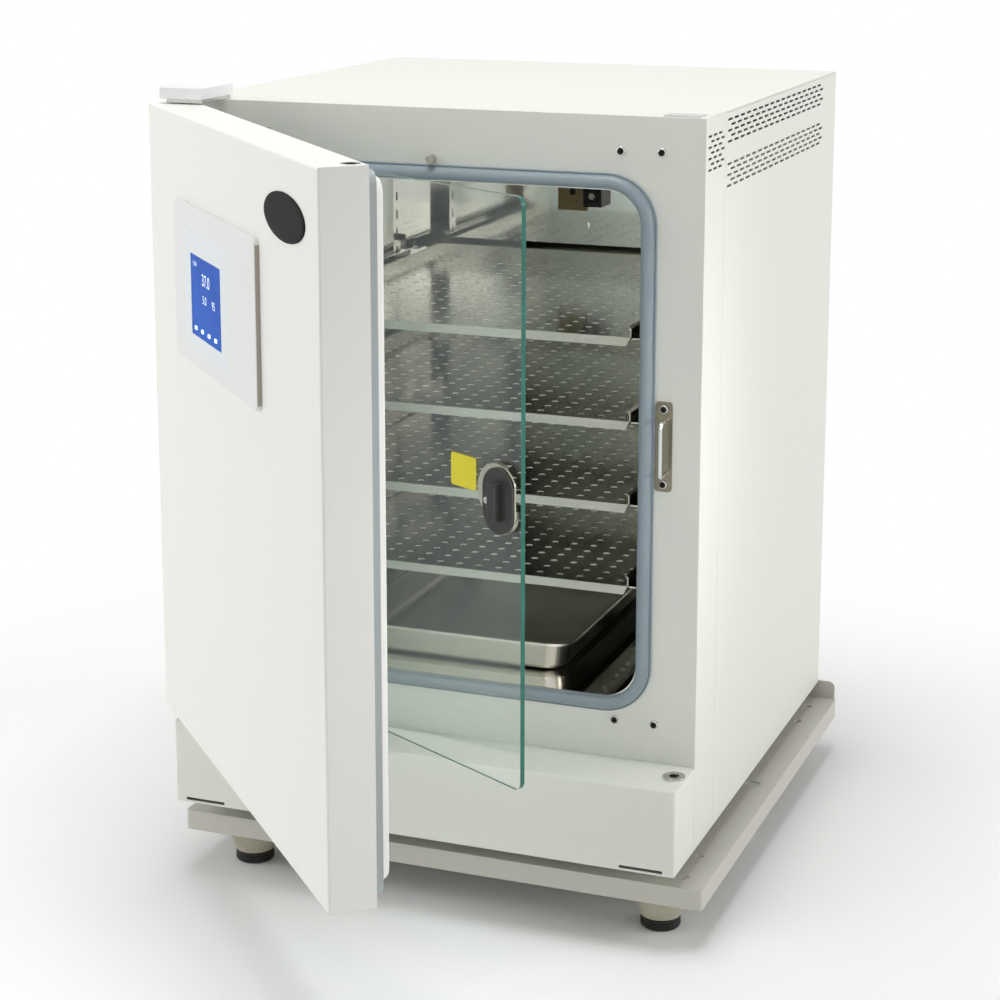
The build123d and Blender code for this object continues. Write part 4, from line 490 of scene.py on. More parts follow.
screen_glass, screen_output = new_material("lit_liquid_crystal_blue")
screen_place = add_node(screen_glass, "ShaderNodeTexCoord").outputs["Object"]
screen_cloud = add_node(screen_glass, "ShaderNodeTexNoise", {"Scale": 14.0, "Detail": 1.0},
                        {"Vector": screen_place})
screen_tint = add_node(screen_glass, "ShaderNodeMix", data_type="RGBA",
                       links={"Factor": screen_cloud.outputs["Fac"]})
screen_tint.inputs["A"].default_value = linear("#0d49ab")
screen_tint.inputs["B"].default_value = linear("#2467cd")
screen_shader = add_node(screen_glass, "ShaderNodeBsdfPrincipled",
                         {"Base Color": linear("#020408"), "Roughness": 0.3, "Emission Strength": 0.95,
                          "Specular IOR Level": 0.02},
                         {"Emission Color": screen_tint.outputs["Result"]})
screen_glass.node_tree.links.new(screen_shader.outputs["BSDF"], screen_output.inputs["Surface"])

screen_white = surface("lit_screen_figures_white", "#dfe9fb", 0.3, grain_mm=2.0, mottle=0.02,
                       **{"Emission Color": linear("#dfe9fb"), "Emission Strength": 0.5})

# %% [markdown]
# Every node of the frame names a slot for its finish. The table below pairs each slot with a
# material, so a node that isn't modelled again still gets its real surface.

# %% Finish every node of the frame
FINISHES = {
    "cabinet_paint": cabinet_paint, "door_paint": door_paint, "tray_paint": tray_paint,
    "white_plastic": white_abs, "bezel_plastic": bezel_abs, "window_plastic": window_acrylic,
    "screen_glass": screen_glass, "black_plate": badge_enamel, "hinge_steel": zinc_steel,
    "bush_plastic": acetal_grey, "chamber_steel": chamber_steel, "chamber_silicone": chamber_silicone,
    "door_silicone": door_silicone, "mineral_wool": mineral_wool, "door_foam": door_foam,
    "heater_foil": heater_foil, "fan_plastic": fan_nylon, "motor_metal": motor_metal,
    "tan_plastic": tan_plastic, "black_plastic": black_nylon, "clear_glass": float_glass,
    "bright_chrome": chrome, "board_green": board_green, "supply_metal": supply_metal,
    "port_plastic": port_plastic, "stopper_silicone": stopper_silicone, "gas_metal": brass,
    "cup_paint": cup_paint, "foot_rubber": foot_rubber,
}
for node in frame["nodes"].values():
    slot_name = node.data.materials[0].name.split(".")[0]
    node.data.materials.clear()
    node.data.materials.append(FINISHES[slot_name])
frame["nodes"]["door_sensor_button"].data.materials[0] = satin_nickel

# %% [markdown]
# A shelf is one stainless sheet, punched with round holes on a square one inch grid, then folded:
# a lip in front with slanted ends, a low wall at each side and a higher one at the back.
# Punching 289 holes by booleans would leave ragged faces, so one square tile with one hole is made
# first: a square is divided in four, its middle corner is bevelled into a small disc of faces,
# those are deleted, and the rim is pushed out to a true circle. Two array modifiers lay out the
# sheet, and its outer edges are extruded and folded.

# %% A punched shelf
HOLE_PITCH = 25.4
HOLE_RADIUS = 4.2
HOLES = 17
SHELF_HALF = 218.0
SHELF_SHEET = 1.2
SHELF_FRONT, SHELF_BACK = 55.0, 495.0
SHELF_TOPS = {"shelf_1": 597.0, "shelf_2": 497.0, "shelf_3": 397.0, "shelf_4": 297.0}
first_x = -HOLE_PITCH * (HOLES - 1) / 2
first_y = 73.0
top = SHELF_TOPS["shelf_4"]

deselect()
bpy.ops.mesh.primitive_plane_add(size=HOLE_PITCH * MM, location=at(first_x, first_y, top))
settle()
shelf_sheet = bpy.context.object
pick(shelf_sheet, "FACE", lambda x, y, z: True)
bpy.ops.mesh.subdivide(number_cuts=1)
pick(shelf_sheet, "VERT", lambda x, y, z: near(x, first_x) and near(y, first_y))
bpy.ops.mesh.bevel(offset=HOLE_RADIUS * MM, segments=4, profile=0.086, affect="VERTICES")
pick(shelf_sheet, "FACE", lambda x, y, z: math.hypot(x - first_x, y - first_y) < HOLE_RADIUS)
bpy.ops.mesh.delete(type="FACE")
pick(shelf_sheet, "VERT", lambda x, y, z: math.hypot(x - first_x, y - first_y) < HOLE_RADIUS + 1)
bpy.ops.transform.tosphere(value=1)
bpy.ops.object.mode_set(mode="OBJECT")
for direction in ((1, 0, 0), (0, 1, 0)):
    rows = shelf_sheet.modifiers.new("rows of holes", "ARRAY")
    rows.count = HOLES
    rows.use_relative_offset = False
    rows.use_constant_offset = True
    rows.constant_offset_displace = Vector(direction) * HOLE_PITCH * MM
    rows.use_merge_vertices = True
    rows.merge_threshold = 0.05 * MM
    bpy.ops.object.modifier_apply(modifier=rows.name)

# %% Fold the shelf's edges
BACK_WALL, SIDE_WALL, FRONT_LIP = 20.0, 10.0, 10.5
reach_x = first_x - HOLE_PITCH / 2
reach_front = first_y - HOLE_PITCH / 2
reach_back = reach_front + HOLES * HOLE_PITCH
pick(shelf_sheet, "EDGE", lambda x, y, z: near(y, reach_front))
pull(0, SHELF_FRONT - reach_front, 0)
pick(shelf_sheet, "EDGE", lambda x, y, z: near(y, reach_back))
pull(0, SHELF_BACK - reach_back, 0)
for side in (-1, 1):
    pick(shelf_sheet, "EDGE", lambda x, y, z: near(x, -side * reach_x))
    pull(side * (SHELF_HALF + reach_x), 0, 0)
pick(shelf_sheet, "EDGE", lambda x, y, z: near(y, SHELF_BACK))
pull(0, 0, BACK_WALL)
for side in (-1, 1):
    pick(shelf_sheet, "EDGE", lambda x, y, z: near(x, side * SHELF_HALF) and near(z, top))
    pull(0, 0, SIDE_WALL)
    pull(-side * 3, 0, 2)
pick(shelf_sheet, "EDGE", lambda x, y, z: near(y, SHELF_FRONT) and near(z, top))
pull(0, 0, -FRONT_LIP)
bpy.ops.transform.resize(value=((SHELF_HALF - 5) / SHELF_HALF, 1, 1),
                         center_override=at(0, SHELF_FRONT, top - FRONT_LIP))
pull(0, 3, 0)
thicken(shelf_sheet, SHELF_SHEET)
for name, level in SHELF_TOPS.items():
    shelf = copy_of(shelf_sheet, z=level - top)
    complete(shelf, "punched_" + name, name, shelf_steel, (name,), smooth=30,
             extra=(punched_edge_painted_highlight,))
    # The hole walls inside the sheet's thickness get the brighter steel as a painted highlight.
    paint_faces(shelf, 1, lambda x, y, z: level - SHELF_SHEET < z < level - 0.1 and SHELF_FRONT + 5 < y
                and abs(x) < SHELF_HALF - 5 and y < SHELF_BACK - 5)
bpy.data.objects.remove(shelf_sheet)

# %% [markdown]
# The water pan is deep drawn: a flat sheet pressed into a mould, so its walls lean, its corners are
# wide and its floor meets the walls in a soft curve. The rim is rolled over to stiffen it.
# A box with rounded upright edges is opened, tapered, and gets its rim by extruding the opening.

# %% The water pan
PAN_HALF, PAN_HALF_DEPTH, PAN_MIDDLE = 143.0, 210.0, 255.0
RIM_REACH, LIP_REACH = 6.0, 7.0
pan_low, pan_high = 180.3, 218.3
pan = slab(-PAN_HALF, PAN_HALF, PAN_MIDDLE - PAN_HALF_DEPTH, PAN_MIDDLE + PAN_HALF_DEPTH, pan_low, pan_high)
pick(pan, "EDGE", lambda x, y, z: near(z, (pan_low + pan_high) / 2))
bpy.ops.mesh.bevel(offset=28 * MM, segments=8, affect="EDGES")
pick(pan, "FACE", lambda x, y, z: near(z, pan_high))
bpy.ops.mesh.delete(type="ONLY_FACE")
pick(pan, "FACE", lambda x, y, z: near(z, pan_low))
bpy.ops.transform.resize(value=(0.958, 0.971, 1), center_override=at(0, PAN_MIDDLE, pan_low))
bpy.ops.mesh.bevel(offset=9 * MM, segments=5, affect="EDGES")
pick(pan, "EDGE", lambda x, y, z: near(z, pan_high))
pull(0, 0, -0.01)
rim_half, rim_half_depth = PAN_HALF + RIM_REACH, PAN_HALF_DEPTH + RIM_REACH
bpy.ops.transform.resize(value=(rim_half / PAN_HALF, rim_half_depth / PAN_HALF_DEPTH, 1),
                         center_override=at(0, PAN_MIDDLE, pan_high))
pull(0, 0, -2.5)
bpy.ops.transform.resize(
    value=((PAN_HALF + LIP_REACH) / rim_half, (PAN_HALF_DEPTH + LIP_REACH) / rim_half_depth, 1),
    center_override=at(0, PAN_MIDDLE, pan_high))
thicken(pan, 1.2)
soften(pan, 0.8)
complete(pan, "drawn_water_pan", "water_pan", pan_steel, ("water_pan",), smooth=40)

# %% [markdown]
# A moulded seal has the same section all the way round. Starting from the outline's face, each
# inset with a depth walks one step along that section, so a short list of steps draws it: inwards
# and outwards, up and down. The middle face is deleted at the end and the back is bridged.


# %% Sealing frames
SEAL_MIDDLE = {"chamber": 478.0, "outer_door": 485.5}


def sealing_frame(width, height, middle_z, corner, y, steps, to_front=True):
    """A rounded frame whose section follows a list of steps: inwards and up, in millimetres."""
    piece = rounded_face(-width / 2, width / 2, middle_z - height / 2, middle_z + height / 2, y,
                         corner, segments=12, to_front=to_front)
    for inwards, up in steps:
        bpy.ops.mesh.inset(thickness=max(inwards, 0.02) * MM, depth=up * MM, use_even_offset=True)
    bpy.ops.mesh.delete(type="FACE")
    pick(piece, "EDGE", lambda px, py, pz: near(py, y))
    bpy.ops.mesh.bridge_edge_loops()
    bpy.ops.mesh.select_all(action="SELECT")
    bpy.ops.mesh.normals_make_consistent(inside=False)
    return piece


chamber_seal = sealing_frame(
    532, 634, SEAL_MIDDLE["chamber"], 59, 0,
    [(0.02, 3.0), (0.9, 0.6), (0.9, -0.6), (0.02, -0.8), (0.8, 2.8), (1.6, 3.2), (3.4, 2.6), (3.2, 1.0),
     (3.0, -0.2), (2.2, -1.4), (0.9, -2.2), (0.02, -8.0)])
complete(chamber_seal, "silicone_chamber_seal", "cabinet", chamber_silicone, ("chamber_gasket",),
         smooth=40)

# Seal faces nearer the cabinet than this, the outer lip, are painted white as a painted highlight.
SEAL_LIP_HIGHLIGHT_FROM = -13.8
seal_band = sealing_frame(636, 733, SEAL_MIDDLE["outer_door"], 13, -24,
                          [(0.02, 9.6), (10.6, 0.2), (0.02, -9.0)], to_front=False)
bpy.ops.object.mode_set(mode="OBJECT")
seal_bead = sealing_frame(
    615, 722, SEAL_MIDDLE["outer_door"], 18, -15.5,
    [(0.8, 4.4), (1.5, 5.0), (2.5, 3.0), (3.2, 1.2), (2.0, 0.3), (3.0, -1.2), (1.8, -3.5), (0.8, -5.0),
     (0.02, -3.5)], to_front=False)
bpy.ops.object.mode_set(mode="OBJECT")
door_seal = join([seal_band, seal_bead])
complete(door_seal, "magnetic_door_seal", "outer_door", door_silicone, ("outer_door_gasket",),
         door="outer_door", smooth=40, extra=(stopper_silicone,))
# The seal's outer lip gets the white silicone as a painted highlight.
paint_faces(door_seal, 1, lambda x, y, z: y > SEAL_LIP_HIGHLIGHT_FROM, "outer_door")

# %% [markdown]
# The inner door is one pane of tempered glass. Its corners are rounded, its edges are ground and
# slightly chamfered, and its two hinge corners are notched for the clamps. The notches are cut by
# booleans, the edges by one bevel, and the ground edge faces get the edge material.

# %% The glass pane
GLASS_LEFT, GLASS_RIGHT, GLASS_LOW, GLASS_HIGH = -259.0, 274.0, 164.0, 804.0
GLASS_FACE, GLASS_REAR = -18.5, -12.5
NOTCH_WIDTH, NOTCH_HEIGHT = 8.0, 14.0
pane = rounded_face(GLASS_LEFT, GLASS_RIGHT, GLASS_LOW, GLASS_HIGH, GLASS_REAR, 10)
pull(0, GLASS_FACE - GLASS_REAR, 0)
pick(pane, "EDGE", lambda x, y, z: near(y, GLASS_REAR))
bpy.ops.mesh.edge_face_add()
bpy.ops.mesh.select_all(action="SELECT")
bpy.ops.mesh.normals_make_consistent(inside=False)
for low in (GLASS_LOW - 5, GLASS_HIGH - NOTCH_HEIGHT):
    cut(pane, slab(GLASS_LEFT - 5, GLASS_LEFT + NOTCH_WIDTH, GLASS_FACE - 5, GLASS_REAR + 5,
                   low, low + NOTCH_HEIGHT + 5))
soften(pane, 1.5)
complete(pane, "tempered_glass_door", "glass_door", float_glass, ("glass_pane",),
         smooth=30, extra=(glass_edge,))
for face in pane.data.polygons:
    face.material_index = 1 if abs(face.normal.y) < 0.3 else 0
swing(pane, "glass_door")

# %% [markdown]
# The latch is a black oval knob on a bright rose. The rose is a disc joined to an oval and cut
# straight beside the glass's edge, so that the tongue can swing out of it. A boolean joins them,
# a bisect makes the straight cut, and a bevel gives the rolled edge that catches the light. A
# shallow room behind it, open at the side, lets the tongue lie upright and swing out.

# %% The latch's rose
LATCH_X, LATCH_Z = 246.0, 481.0
ROSE_WIDTH, ROSE_HEIGHT, ROSE_DEPTH = 50.0, 74.0, 6.0
ROSE_RADIUS, ROSE_SHIFT, ROSE_LIFT = 31.5, -4.0, 8.0
ROSE_SIDE = GLASS_RIGHT - 3.2
ROOM_DEPTH = 3.9


def upright_oval(width, height, back, front, segments=14):
    """A solid oval at the latch, from its back plane to its front plane."""
    piece = rounded_face(LATCH_X - width / 2, LATCH_X + width / 2, LATCH_Z - height / 2,
                         LATCH_Z + height / 2, back, 0.4999 * width, segments)
    pull(0, front - back, 0)
    pick(piece, "EDGE", lambda x, y, z: near(y, back))
    bpy.ops.mesh.edge_face_add()
    bpy.ops.mesh.select_all(action="SELECT")
    bpy.ops.mesh.remove_doubles(threshold=0.02 * MM)
    bpy.ops.mesh.normals_make_consistent(inside=False)
    bpy.ops.object.mode_set(mode="OBJECT")
    return piece


rose = upright_oval(ROSE_WIDTH, ROSE_HEIGHT, GLASS_FACE, GLASS_FACE - ROSE_DEPTH)
deselect()
bpy.ops.mesh.primitive_cylinder_add(
    vertices=72, radius=ROSE_RADIUS * MM, depth=ROSE_DEPTH * MM, rotation=(math.radians(90), 0, 0),
    location=at(LATCH_X + ROSE_SHIFT, GLASS_FACE - ROSE_DEPTH / 2, LATCH_Z + ROSE_LIFT))
disc = bpy.context.object
cut(rose, disc, "UNION")
pick(rose, "FACE", lambda x, y, z: True)
bpy.ops.mesh.bisect(plane_co=at(ROSE_SIDE, 0, 0), plane_no=(1, 0, 0), use_fill=True, clear_outer=True)
soften(rose, 1.2, 3, 50)
cut(rose, slab(LATCH_X - 8, LATCH_X + 40, GLASS_FACE - ROOM_DEPTH, GLASS_FACE + 1,
               LATCH_Z - 8, LATCH_Z + 36.2))
complete(rose, "latch_rose", "glass_door", satin_nickel, ("latch_housing",),
         door="glass_door", smooth=40)

# %% The latch's knob and grip
KNOB_BACK = GLASS_FACE - ROSE_DEPTH - 0.3
KNOB_FACE = KNOB_BACK - 2.6
KNOB_WIDTH, KNOB_HEIGHT = 48.4, 72.0
GRIP_HALF, GRIP_HALF_HEIGHT = 6.0, 20.5
GRIP_FACE = KNOB_FACE - 10.5
knob = upright_oval(KNOB_WIDTH, KNOB_HEIGHT, KNOB_BACK, KNOB_FACE)
pick(knob, "FACE", lambda x, y, z: near(y, KNOB_FACE))
bpy.ops.mesh.inset(thickness=2.0 * MM, depth=0.5 * MM)
soften(knob, 0.4, 2, 35)
grip = slab(LATCH_X - GRIP_HALF, LATCH_X + GRIP_HALF, GRIP_FACE, KNOB_FACE + 0.5,
            LATCH_Z - GRIP_HALF_HEIGHT, LATCH_Z + GRIP_HALF_HEIGHT)
pick(grip, "FACE", lambda x, y, z: near(y, GRIP_FACE))
bpy.ops.transform.resize(value=(0.88, 1, 0.97), center_override=at(LATCH_X, 0, LATCH_Z))
soften(grip, 0.9, 3, 35)
complete(join([knob, grip]), "latch_knob_with_grip", "latch", graphite_nylon, ("latch_knob",),
         door="glass_door", smooth=35)

# %% [markdown]
# All screws on the front are the same button head with a hexagon socket. One is modelled: a short
# cylinder with a rounded rim, and a six-sided tool cuts its socket. The others are copies.


# %% Button-head screws
# Within this radius of each screw's axis, the socket is painted dark as shade.
SOCKET_SHADE_RADIUS = 2.1


def socket_head(radius=5.0, height=2.6):
    """A screw head with its hexagon socket."""
    head = button_head(radius, height)
    deselect()
    bpy.ops.mesh.primitive_cylinder_add(vertices=6, radius=0.44 * radius * MM, depth=height * MM,
                                        location=at(0, -height, 0), rotation=(math.radians(90), 0, 0))
    cut(head, bpy.context.object)
    return head


def button_head(radius, height):
    """A round head with a domed rim."""
    deselect()
    bpy.ops.mesh.primitive_cylinder_add(
        vertices=32, radius=radius * MM, depth=height * MM, location=at(0, -height / 2, 0),
        rotation=(math.radians(90), 0, 0))
    settle()
    head = bpy.context.object
    pick(head, "FACE", lambda x, y, z: near(y, -height))
    bpy.ops.mesh.bevel(offset=0.5 * height * MM, segments=4, affect="EDGES")
    bpy.ops.object.mode_set(mode="OBJECT")
    return head


pattern_screw = socket_head()
SCREW_ROWS = (820.5, 151.0)
SCREW_COLUMNS = ((-270, -3), (-222, -3), (270, 0), (222, 0))
STRIKE_SCREW_X, STRIKE_SCREW_SPAN, STRIKE_Z, STRIKE_SHEET = 277.0, 88.0, 485.5, 2.0
places = [(x, y, z) for z in SCREW_ROWS for x, y in SCREW_COLUMNS]
places += [(STRIKE_SCREW_X, -STRIKE_SHEET, STRIKE_Z + side * STRIKE_SCREW_SPAN / 2) for side in (-1, 1)]
screws = [copy_of(pattern_screw, *place) for place in places]
bpy.data.objects.remove(pattern_screw)
complete(join(screws), "socket_screws", "cabinet", zinc_steel, ("front_screws",),
         smooth=40, extra=(socket_painted_shade,))
# Faces near each screw's axis, the socket's floor and walls, get the near-black steel as painted shade.
paint_faces(screws[0], 1, lambda x, y, z: min(
    math.hypot(x - screw_x, z - screw_z) for screw_x, _, screw_z in places) < SOCKET_SHADE_RADIUS)

latch_screw = socket_head(3.8, 1.6)
place_at(latch_screw, LATCH_X - 16.5, KNOB_FACE - 0.4, LATCH_Z - 2)
complete(latch_screw, "latch_screw", "latch", chrome, door="glass_door",
         smooth=40)

# %% [markdown]
# The strike is a bright bar bent twice, on a stamped plate. The bar starts as a disc: extruded
# straight, then spun a quarter turn about the bend's centre, straight again, and so on, which
# keeps its roundness through both bends.

# %% The strike
PLATE_LEFT, PLATE_RIGHT, PLATE_HALF = 267.0, 287.0, 52.5
BAR_X, BAR_RADIUS, BAR_HALF = 280.0, 2.5, 31.5
BAR_ROOT, BAR_FACE, BEND = -1.5, -25.5, 5.5
STRAIGHT = BAR_ROOT - BAR_FACE - BEND
strike_plate = rounded_face(PLATE_LEFT, PLATE_RIGHT, STRIKE_Z - PLATE_HALF, STRIKE_Z + PLATE_HALF, 0, 4)
pull(0, -STRIKE_SHEET, 0)
bpy.ops.mesh.bevel(offset=0.6 * MM, segments=2, affect="EDGES")
deselect()
bpy.ops.mesh.primitive_circle_add(
    vertices=20, radius=BAR_RADIUS * MM, fill_type="NGON", rotation=(math.radians(90), 0, 0),
    location=at(BAR_X, BAR_ROOT, STRIKE_Z - BAR_HALF))
settle()
bar = bpy.context.object
pick(bar, "FACE", lambda x, y, z: True)
pull(0, -STRAIGHT, 0)
bpy.ops.mesh.spin(steps=6, angle=math.radians(90), axis=(1, 0, 0),
                  center=at(BAR_X, BAR_FACE + BEND, STRIKE_Z - BAR_HALF + BEND))
pull(0, 0, 2 * (BAR_HALF - BEND))
bpy.ops.mesh.spin(steps=6, angle=math.radians(90), axis=(1, 0, 0),
                  center=at(BAR_X, BAR_FACE + BEND, STRIKE_Z + BAR_HALF - BEND))
pull(0, STRAIGHT, 0)
bpy.ops.mesh.select_all(action="SELECT")
bpy.ops.mesh.remove_doubles(threshold=0.02 * MM)
bpy.ops.mesh.normals_make_consistent(inside=False)
bpy.ops.object.mode_set(mode="OBJECT")
complete(join([strike_plate, bar]), "strike_with_bar", "cabinet", chrome, ("strike_plate",),
         smooth=40, extra=(strike_steel,))
paint_faces(strike_plate, 1, lambda x, y, z: y > -STRIKE_SHEET - 0.1)

# %% [markdown]
# The display sits in a flat frame that stands a few millimetres proud of the door. Its outline is
# a rounded rectangle with a rounded rim, and the window lies in a shallow recess with rounded
# corners, which a boolean cuts. The screen shows plain figures only.

# %% The display's frame
DOOR_LEFT, DOOR_FACE = -325.0, -75.0
BEZEL_LEFT, BEZEL_RIGHT, BEZEL_LOW, BEZEL_HIGH = DOOR_LEFT + 126, DOOR_LEFT + 452, 582.0, 763.0
BEZEL_DEPTH = 5.5
WINDOW_LEFT, WINDOW_RIGHT, WINDOW_LOW, WINDOW_HIGH = DOOR_LEFT + 171, DOOR_LEFT + 350, 602.0, 735.5
WINDOW_SINK = 2.0
recess_floor = DOOR_FACE - BEZEL_DEPTH + WINDOW_SINK
bezel = rounded_face(BEZEL_LEFT, BEZEL_RIGHT, BEZEL_LOW, BEZEL_HIGH, DOOR_FACE, 9, segments=6)
pull(0, -BEZEL_DEPTH, 0)
bpy.ops.mesh.bevel(offset=1.6 * MM, segments=3, affect="EDGES")
bpy.ops.object.mode_set(mode="OBJECT")
recess = slab(WINDOW_LEFT, WINDOW_RIGHT, recess_floor - 4.5, recess_floor, WINDOW_LOW, WINDOW_HIGH)
pick(recess, "EDGE", lambda x, y, z: near(y, recess_floor - 2.25))
bpy.ops.mesh.bevel(offset=3 * MM, segments=4, affect="EDGES")
cut(bezel, recess)
complete(bezel, "display_frame", "outer_door", bezel_abs, ("display_bezel",),
         door="outer_door", smooth=35, extra=(bezel_side_painted_shade,))
# The frame's right side faces get the darker grey as painted shade.
paint_faces(bezel, 1, lambda x, y, z: x > BEZEL_RIGHT - 0.5, "outer_door")

# %% The screen's figures
SCREEN_FACE = recess_floor - 1.4


def figures(text, x, z, size):
    """A line of plain figures on the screen, as a thin mesh."""
    deselect()
    bpy.ops.object.text_add(location=at(x, SCREEN_FACE - 0.05, z), rotation=(math.radians(90), 0, 0))
    line = bpy.context.object
    line.data.body = text
    line.data.size = size * MM
    line.data.extrude = 0.04 * MM
    bpy.ops.object.convert(target="MESH")
    settle()
    return bpy.context.object


screen_left = DOOR_LEFT + 198
lines = [figures("37.0", screen_left + 44, 680, 19), figures("5.0", screen_left + 46, 660, 13),
         figures("95", screen_left + 84, 660, 13), figures("12:30", screen_left + 8, 698, 7)]
for number in range(4):
    key = slab(screen_left + 14 + 27 * number, screen_left + 22 + 27 * number,
               SCREEN_FACE - 0.09, SCREEN_FACE - 0.01, 626, 630)
    pick(key, "FACE", lambda x, y, z: near(y, SCREEN_FACE - 0.09))
    bpy.ops.mesh.inset(thickness=1.2 * MM, depth=0)
    bpy.ops.object.mode_set(mode="OBJECT")
    lines.append(key)
complete(join(lines), "screen_figures", "outer_door", screen_white,
         door="outer_door", smooth=30)

# %% [markdown]
# The oval plate beside the display is bare black enamel on a thin pressed plate, slightly domed.
# A cylinder is squeezed to the oval, and its face is inset twice with a little height each time.

# %% The oval plate
BADGE_X, BADGE_Z, BADGE_WIDTH, BADGE_HEIGHT = DOOR_LEFT + 543, 797.5, 135.0, 49.0
deselect()
bpy.ops.mesh.primitive_cylinder_add(
    vertices=72, radius=0.5 * MM, depth=MM, location=at(BADGE_X, DOOR_FACE - 0.5, BADGE_Z),
    rotation=(math.radians(90), 0, 0))
bpy.ops.object.transform_apply(location=False, rotation=True, scale=True)
badge = bpy.context.object
badge.scale = (BADGE_WIDTH, 1, BADGE_HEIGHT)
settle()
pick(badge, "FACE", lambda x, y, z: near(y, DOOR_FACE - 1))
bpy.ops.mesh.inset(thickness=1.5 * MM, depth=0.6 * MM)
bpy.ops.mesh.inset(thickness=6 * MM, depth=0.4 * MM)
complete(badge, "bare_oval_plate", "outer_door", badge_enamel, ("badge_plate",),
         door="outer_door", smooth=50)

# %% [markdown]
# A yellow vinyl sticker marks the glass near the latch. It is left blank.

# %% The blank sticker
STICKER_LEFT, STICKER_LOW, STICKER_WIDTH, STICKER_HEIGHT = GLASS_LEFT + 418, 481.0, 42.0, 36.0
sticker = rounded_face(STICKER_LEFT, STICKER_LEFT + STICKER_WIDTH, STICKER_LOW,
                       STICKER_LOW + STICKER_HEIGHT, GLASS_FACE, 3, segments=5)
pull(0, -0.15, 0)
complete(sticker, "blank_yellow_sticker", "glass_door", sticker_yellow,
         door="glass_door", smooth=30)

# %% [markdown]
# The cap over the upper hinge is a hollow ABS moulding with wide chamfers round its top. A cube
# loses its lower face, its top edges are chamfered, and a solidify modifier gives it its wall.

# %% The hinge cap
CAP_WIDTH, CAP_FRONT, CAP_BACK, CAP_LOW, CAP_HIGH = 55.0, -62.0, 19.0, 865.0, 884.0
cap = slab(DOOR_LEFT, DOOR_LEFT + CAP_WIDTH, CAP_FRONT, CAP_BACK, CAP_LOW, CAP_HIGH)
pick(cap, "FACE", lambda x, y, z: near(z, CAP_HIGH))
bpy.ops.mesh.bevel(offset=6 * MM, segments=1, affect="EDGES")
pick(cap, "FACE", lambda x, y, z: near(z, CAP_LOW))
bpy.ops.mesh.delete(type="FACE")
thicken(cap, 2)
soften(cap, 0.8, 3, 30)
complete(cap, "moulded_hinge_cap", "cabinet", white_abs, ("hinge_cap",), smooth=35)

# %% [markdown]
# Each levelling foot is a rubber pad moulded on a steel stud. Turning shapes it: the pad bulges,
# has two grooves for grip, and the stud rises into the cup above.

# %% The levelling feet
FLOOR = -100.0
FEET = ("foot_front_left", "foot_front_right", "foot_back_left", "foot_back_right")
PAD = [(21.5, 0.0), (21.5, 0.4), (23.4, 1.6), (24.0, 3.0), (24.0, 5.0), (22.9, 5.6), (22.9, 6.2),
       (24.0, 6.8), (24.0, 8.8), (22.9, 9.4), (22.9, 10.0), (24.0, 10.6), (24.0, 12.4), (22.0, 14.4),
       (6.0, 14.7), (6.0, 66.0)]
for name in FEET:
    low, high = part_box(name)
    middle = on_cabinet((low + high) / 2)
    foot = turned(PAD, middle.x, middle.y, FLOOR)
    complete(foot, "rubber_" + name, name, foot_rubber, (name,), smooth=40)

# %% [markdown]
# Inside the chamber a tan cover plate is held by one dark screw, and the black sensor head
# beside it has a white ceramic tip.

# %% Sensor details
PLATE_SCREW_PLACE = (-16, 523, 694)
TIP_PLACE = (18, 506, 692)
plate_screw = socket_head(4.5, 1.6)
place_at(plate_screw, *PLATE_SCREW_PLACE)
complete(plate_screw, "sensor_plate_screw", "cabinet", black_nylon, smooth=40)

tip = turned([(4.6, 0), (4.6, 2.4), (3.6, 3.2), (1.2, 3.6)], *TIP_PLACE, 32)
bpy.ops.object.mode_set(mode="OBJECT")
lay(tip, *TIP_PLACE, 90)
complete(tip, "ceramic_sensor_tip", "cabinet", sensor_white, smooth=40)

# %% [markdown]
# The back is plain, as on any such instrument: button-head screws hold the rear panel, a blank
# aluminium plate stands where the rating plate goes, and the gas inlet ends in a barb for a hose.
# The barb's ridges are turned like the feet and then laid flat.

# %% The back
BACK_FACE = 627.0
back_screw = socket_head(4.0, 2.2)
lay(back_screw, 0, 0, 0, 180, "Z")
BACK_SCREW_X, BACK_SCREW_ROWS = 300.0, (40, 250, 610, 820)
back_places = [(side * BACK_SCREW_X, BACK_FACE, z) for side in (-1, 1) for z in BACK_SCREW_ROWS]
back_screws = [copy_of(back_screw, *place) for place in back_places]
bpy.data.objects.remove(back_screw)
complete(join(back_screws), "rear_panel_screws", "cabinet", zinc_steel, smooth=40)

RATING_LEFT, RATING_RIGHT, RATING_LOW, RATING_HIGH = -250.0, -160.0, 700.0, 755.0
plate = rounded_face(RATING_LEFT, RATING_RIGHT, RATING_LOW, RATING_HIGH, BACK_FACE, 3, segments=5,
                     to_front=False)
pull(0, 0.6, 0)
bpy.ops.mesh.bevel(offset=0.2 * MM, segments=1, affect="EDGES")
complete(plate, "blank_rating_plate", "cabinet", supply_metal, smooth=30)

barb_end = (60.0, on_cabinet(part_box("gas_inlet")[1]).y, 700.0)
RIDGE, RIDGE_HIGH, RIDGE_LOW = 6.0, 4.9, 4.1
profile = [(RIDGE_LOW, 0), (RIDGE_LOW, 0.5)]
for number in range(3):
    profile += [(RIDGE_LOW, 1 + number * RIDGE), (RIDGE_HIGH, 1 + (number + 0.9) * RIDGE),
                (RIDGE_LOW, 1 + (number + 0.95) * RIDGE)]
ridges = turned(profile, *barb_end, 32)
bpy.ops.object.mode_set(mode="OBJECT")
lay(ridges, *barb_end, 90)
complete(ridges, "gas_barb_ridges", "cabinet", brass, smooth=30)

# %% [markdown]
# The stage is a pale floor under plain studio light. Near the part the floor is a matt white that
# keeps its shadow. Further out it fades to the backdrop's white. Only camera, gloss and glass rays
# see that white, so it adds no light to the part.


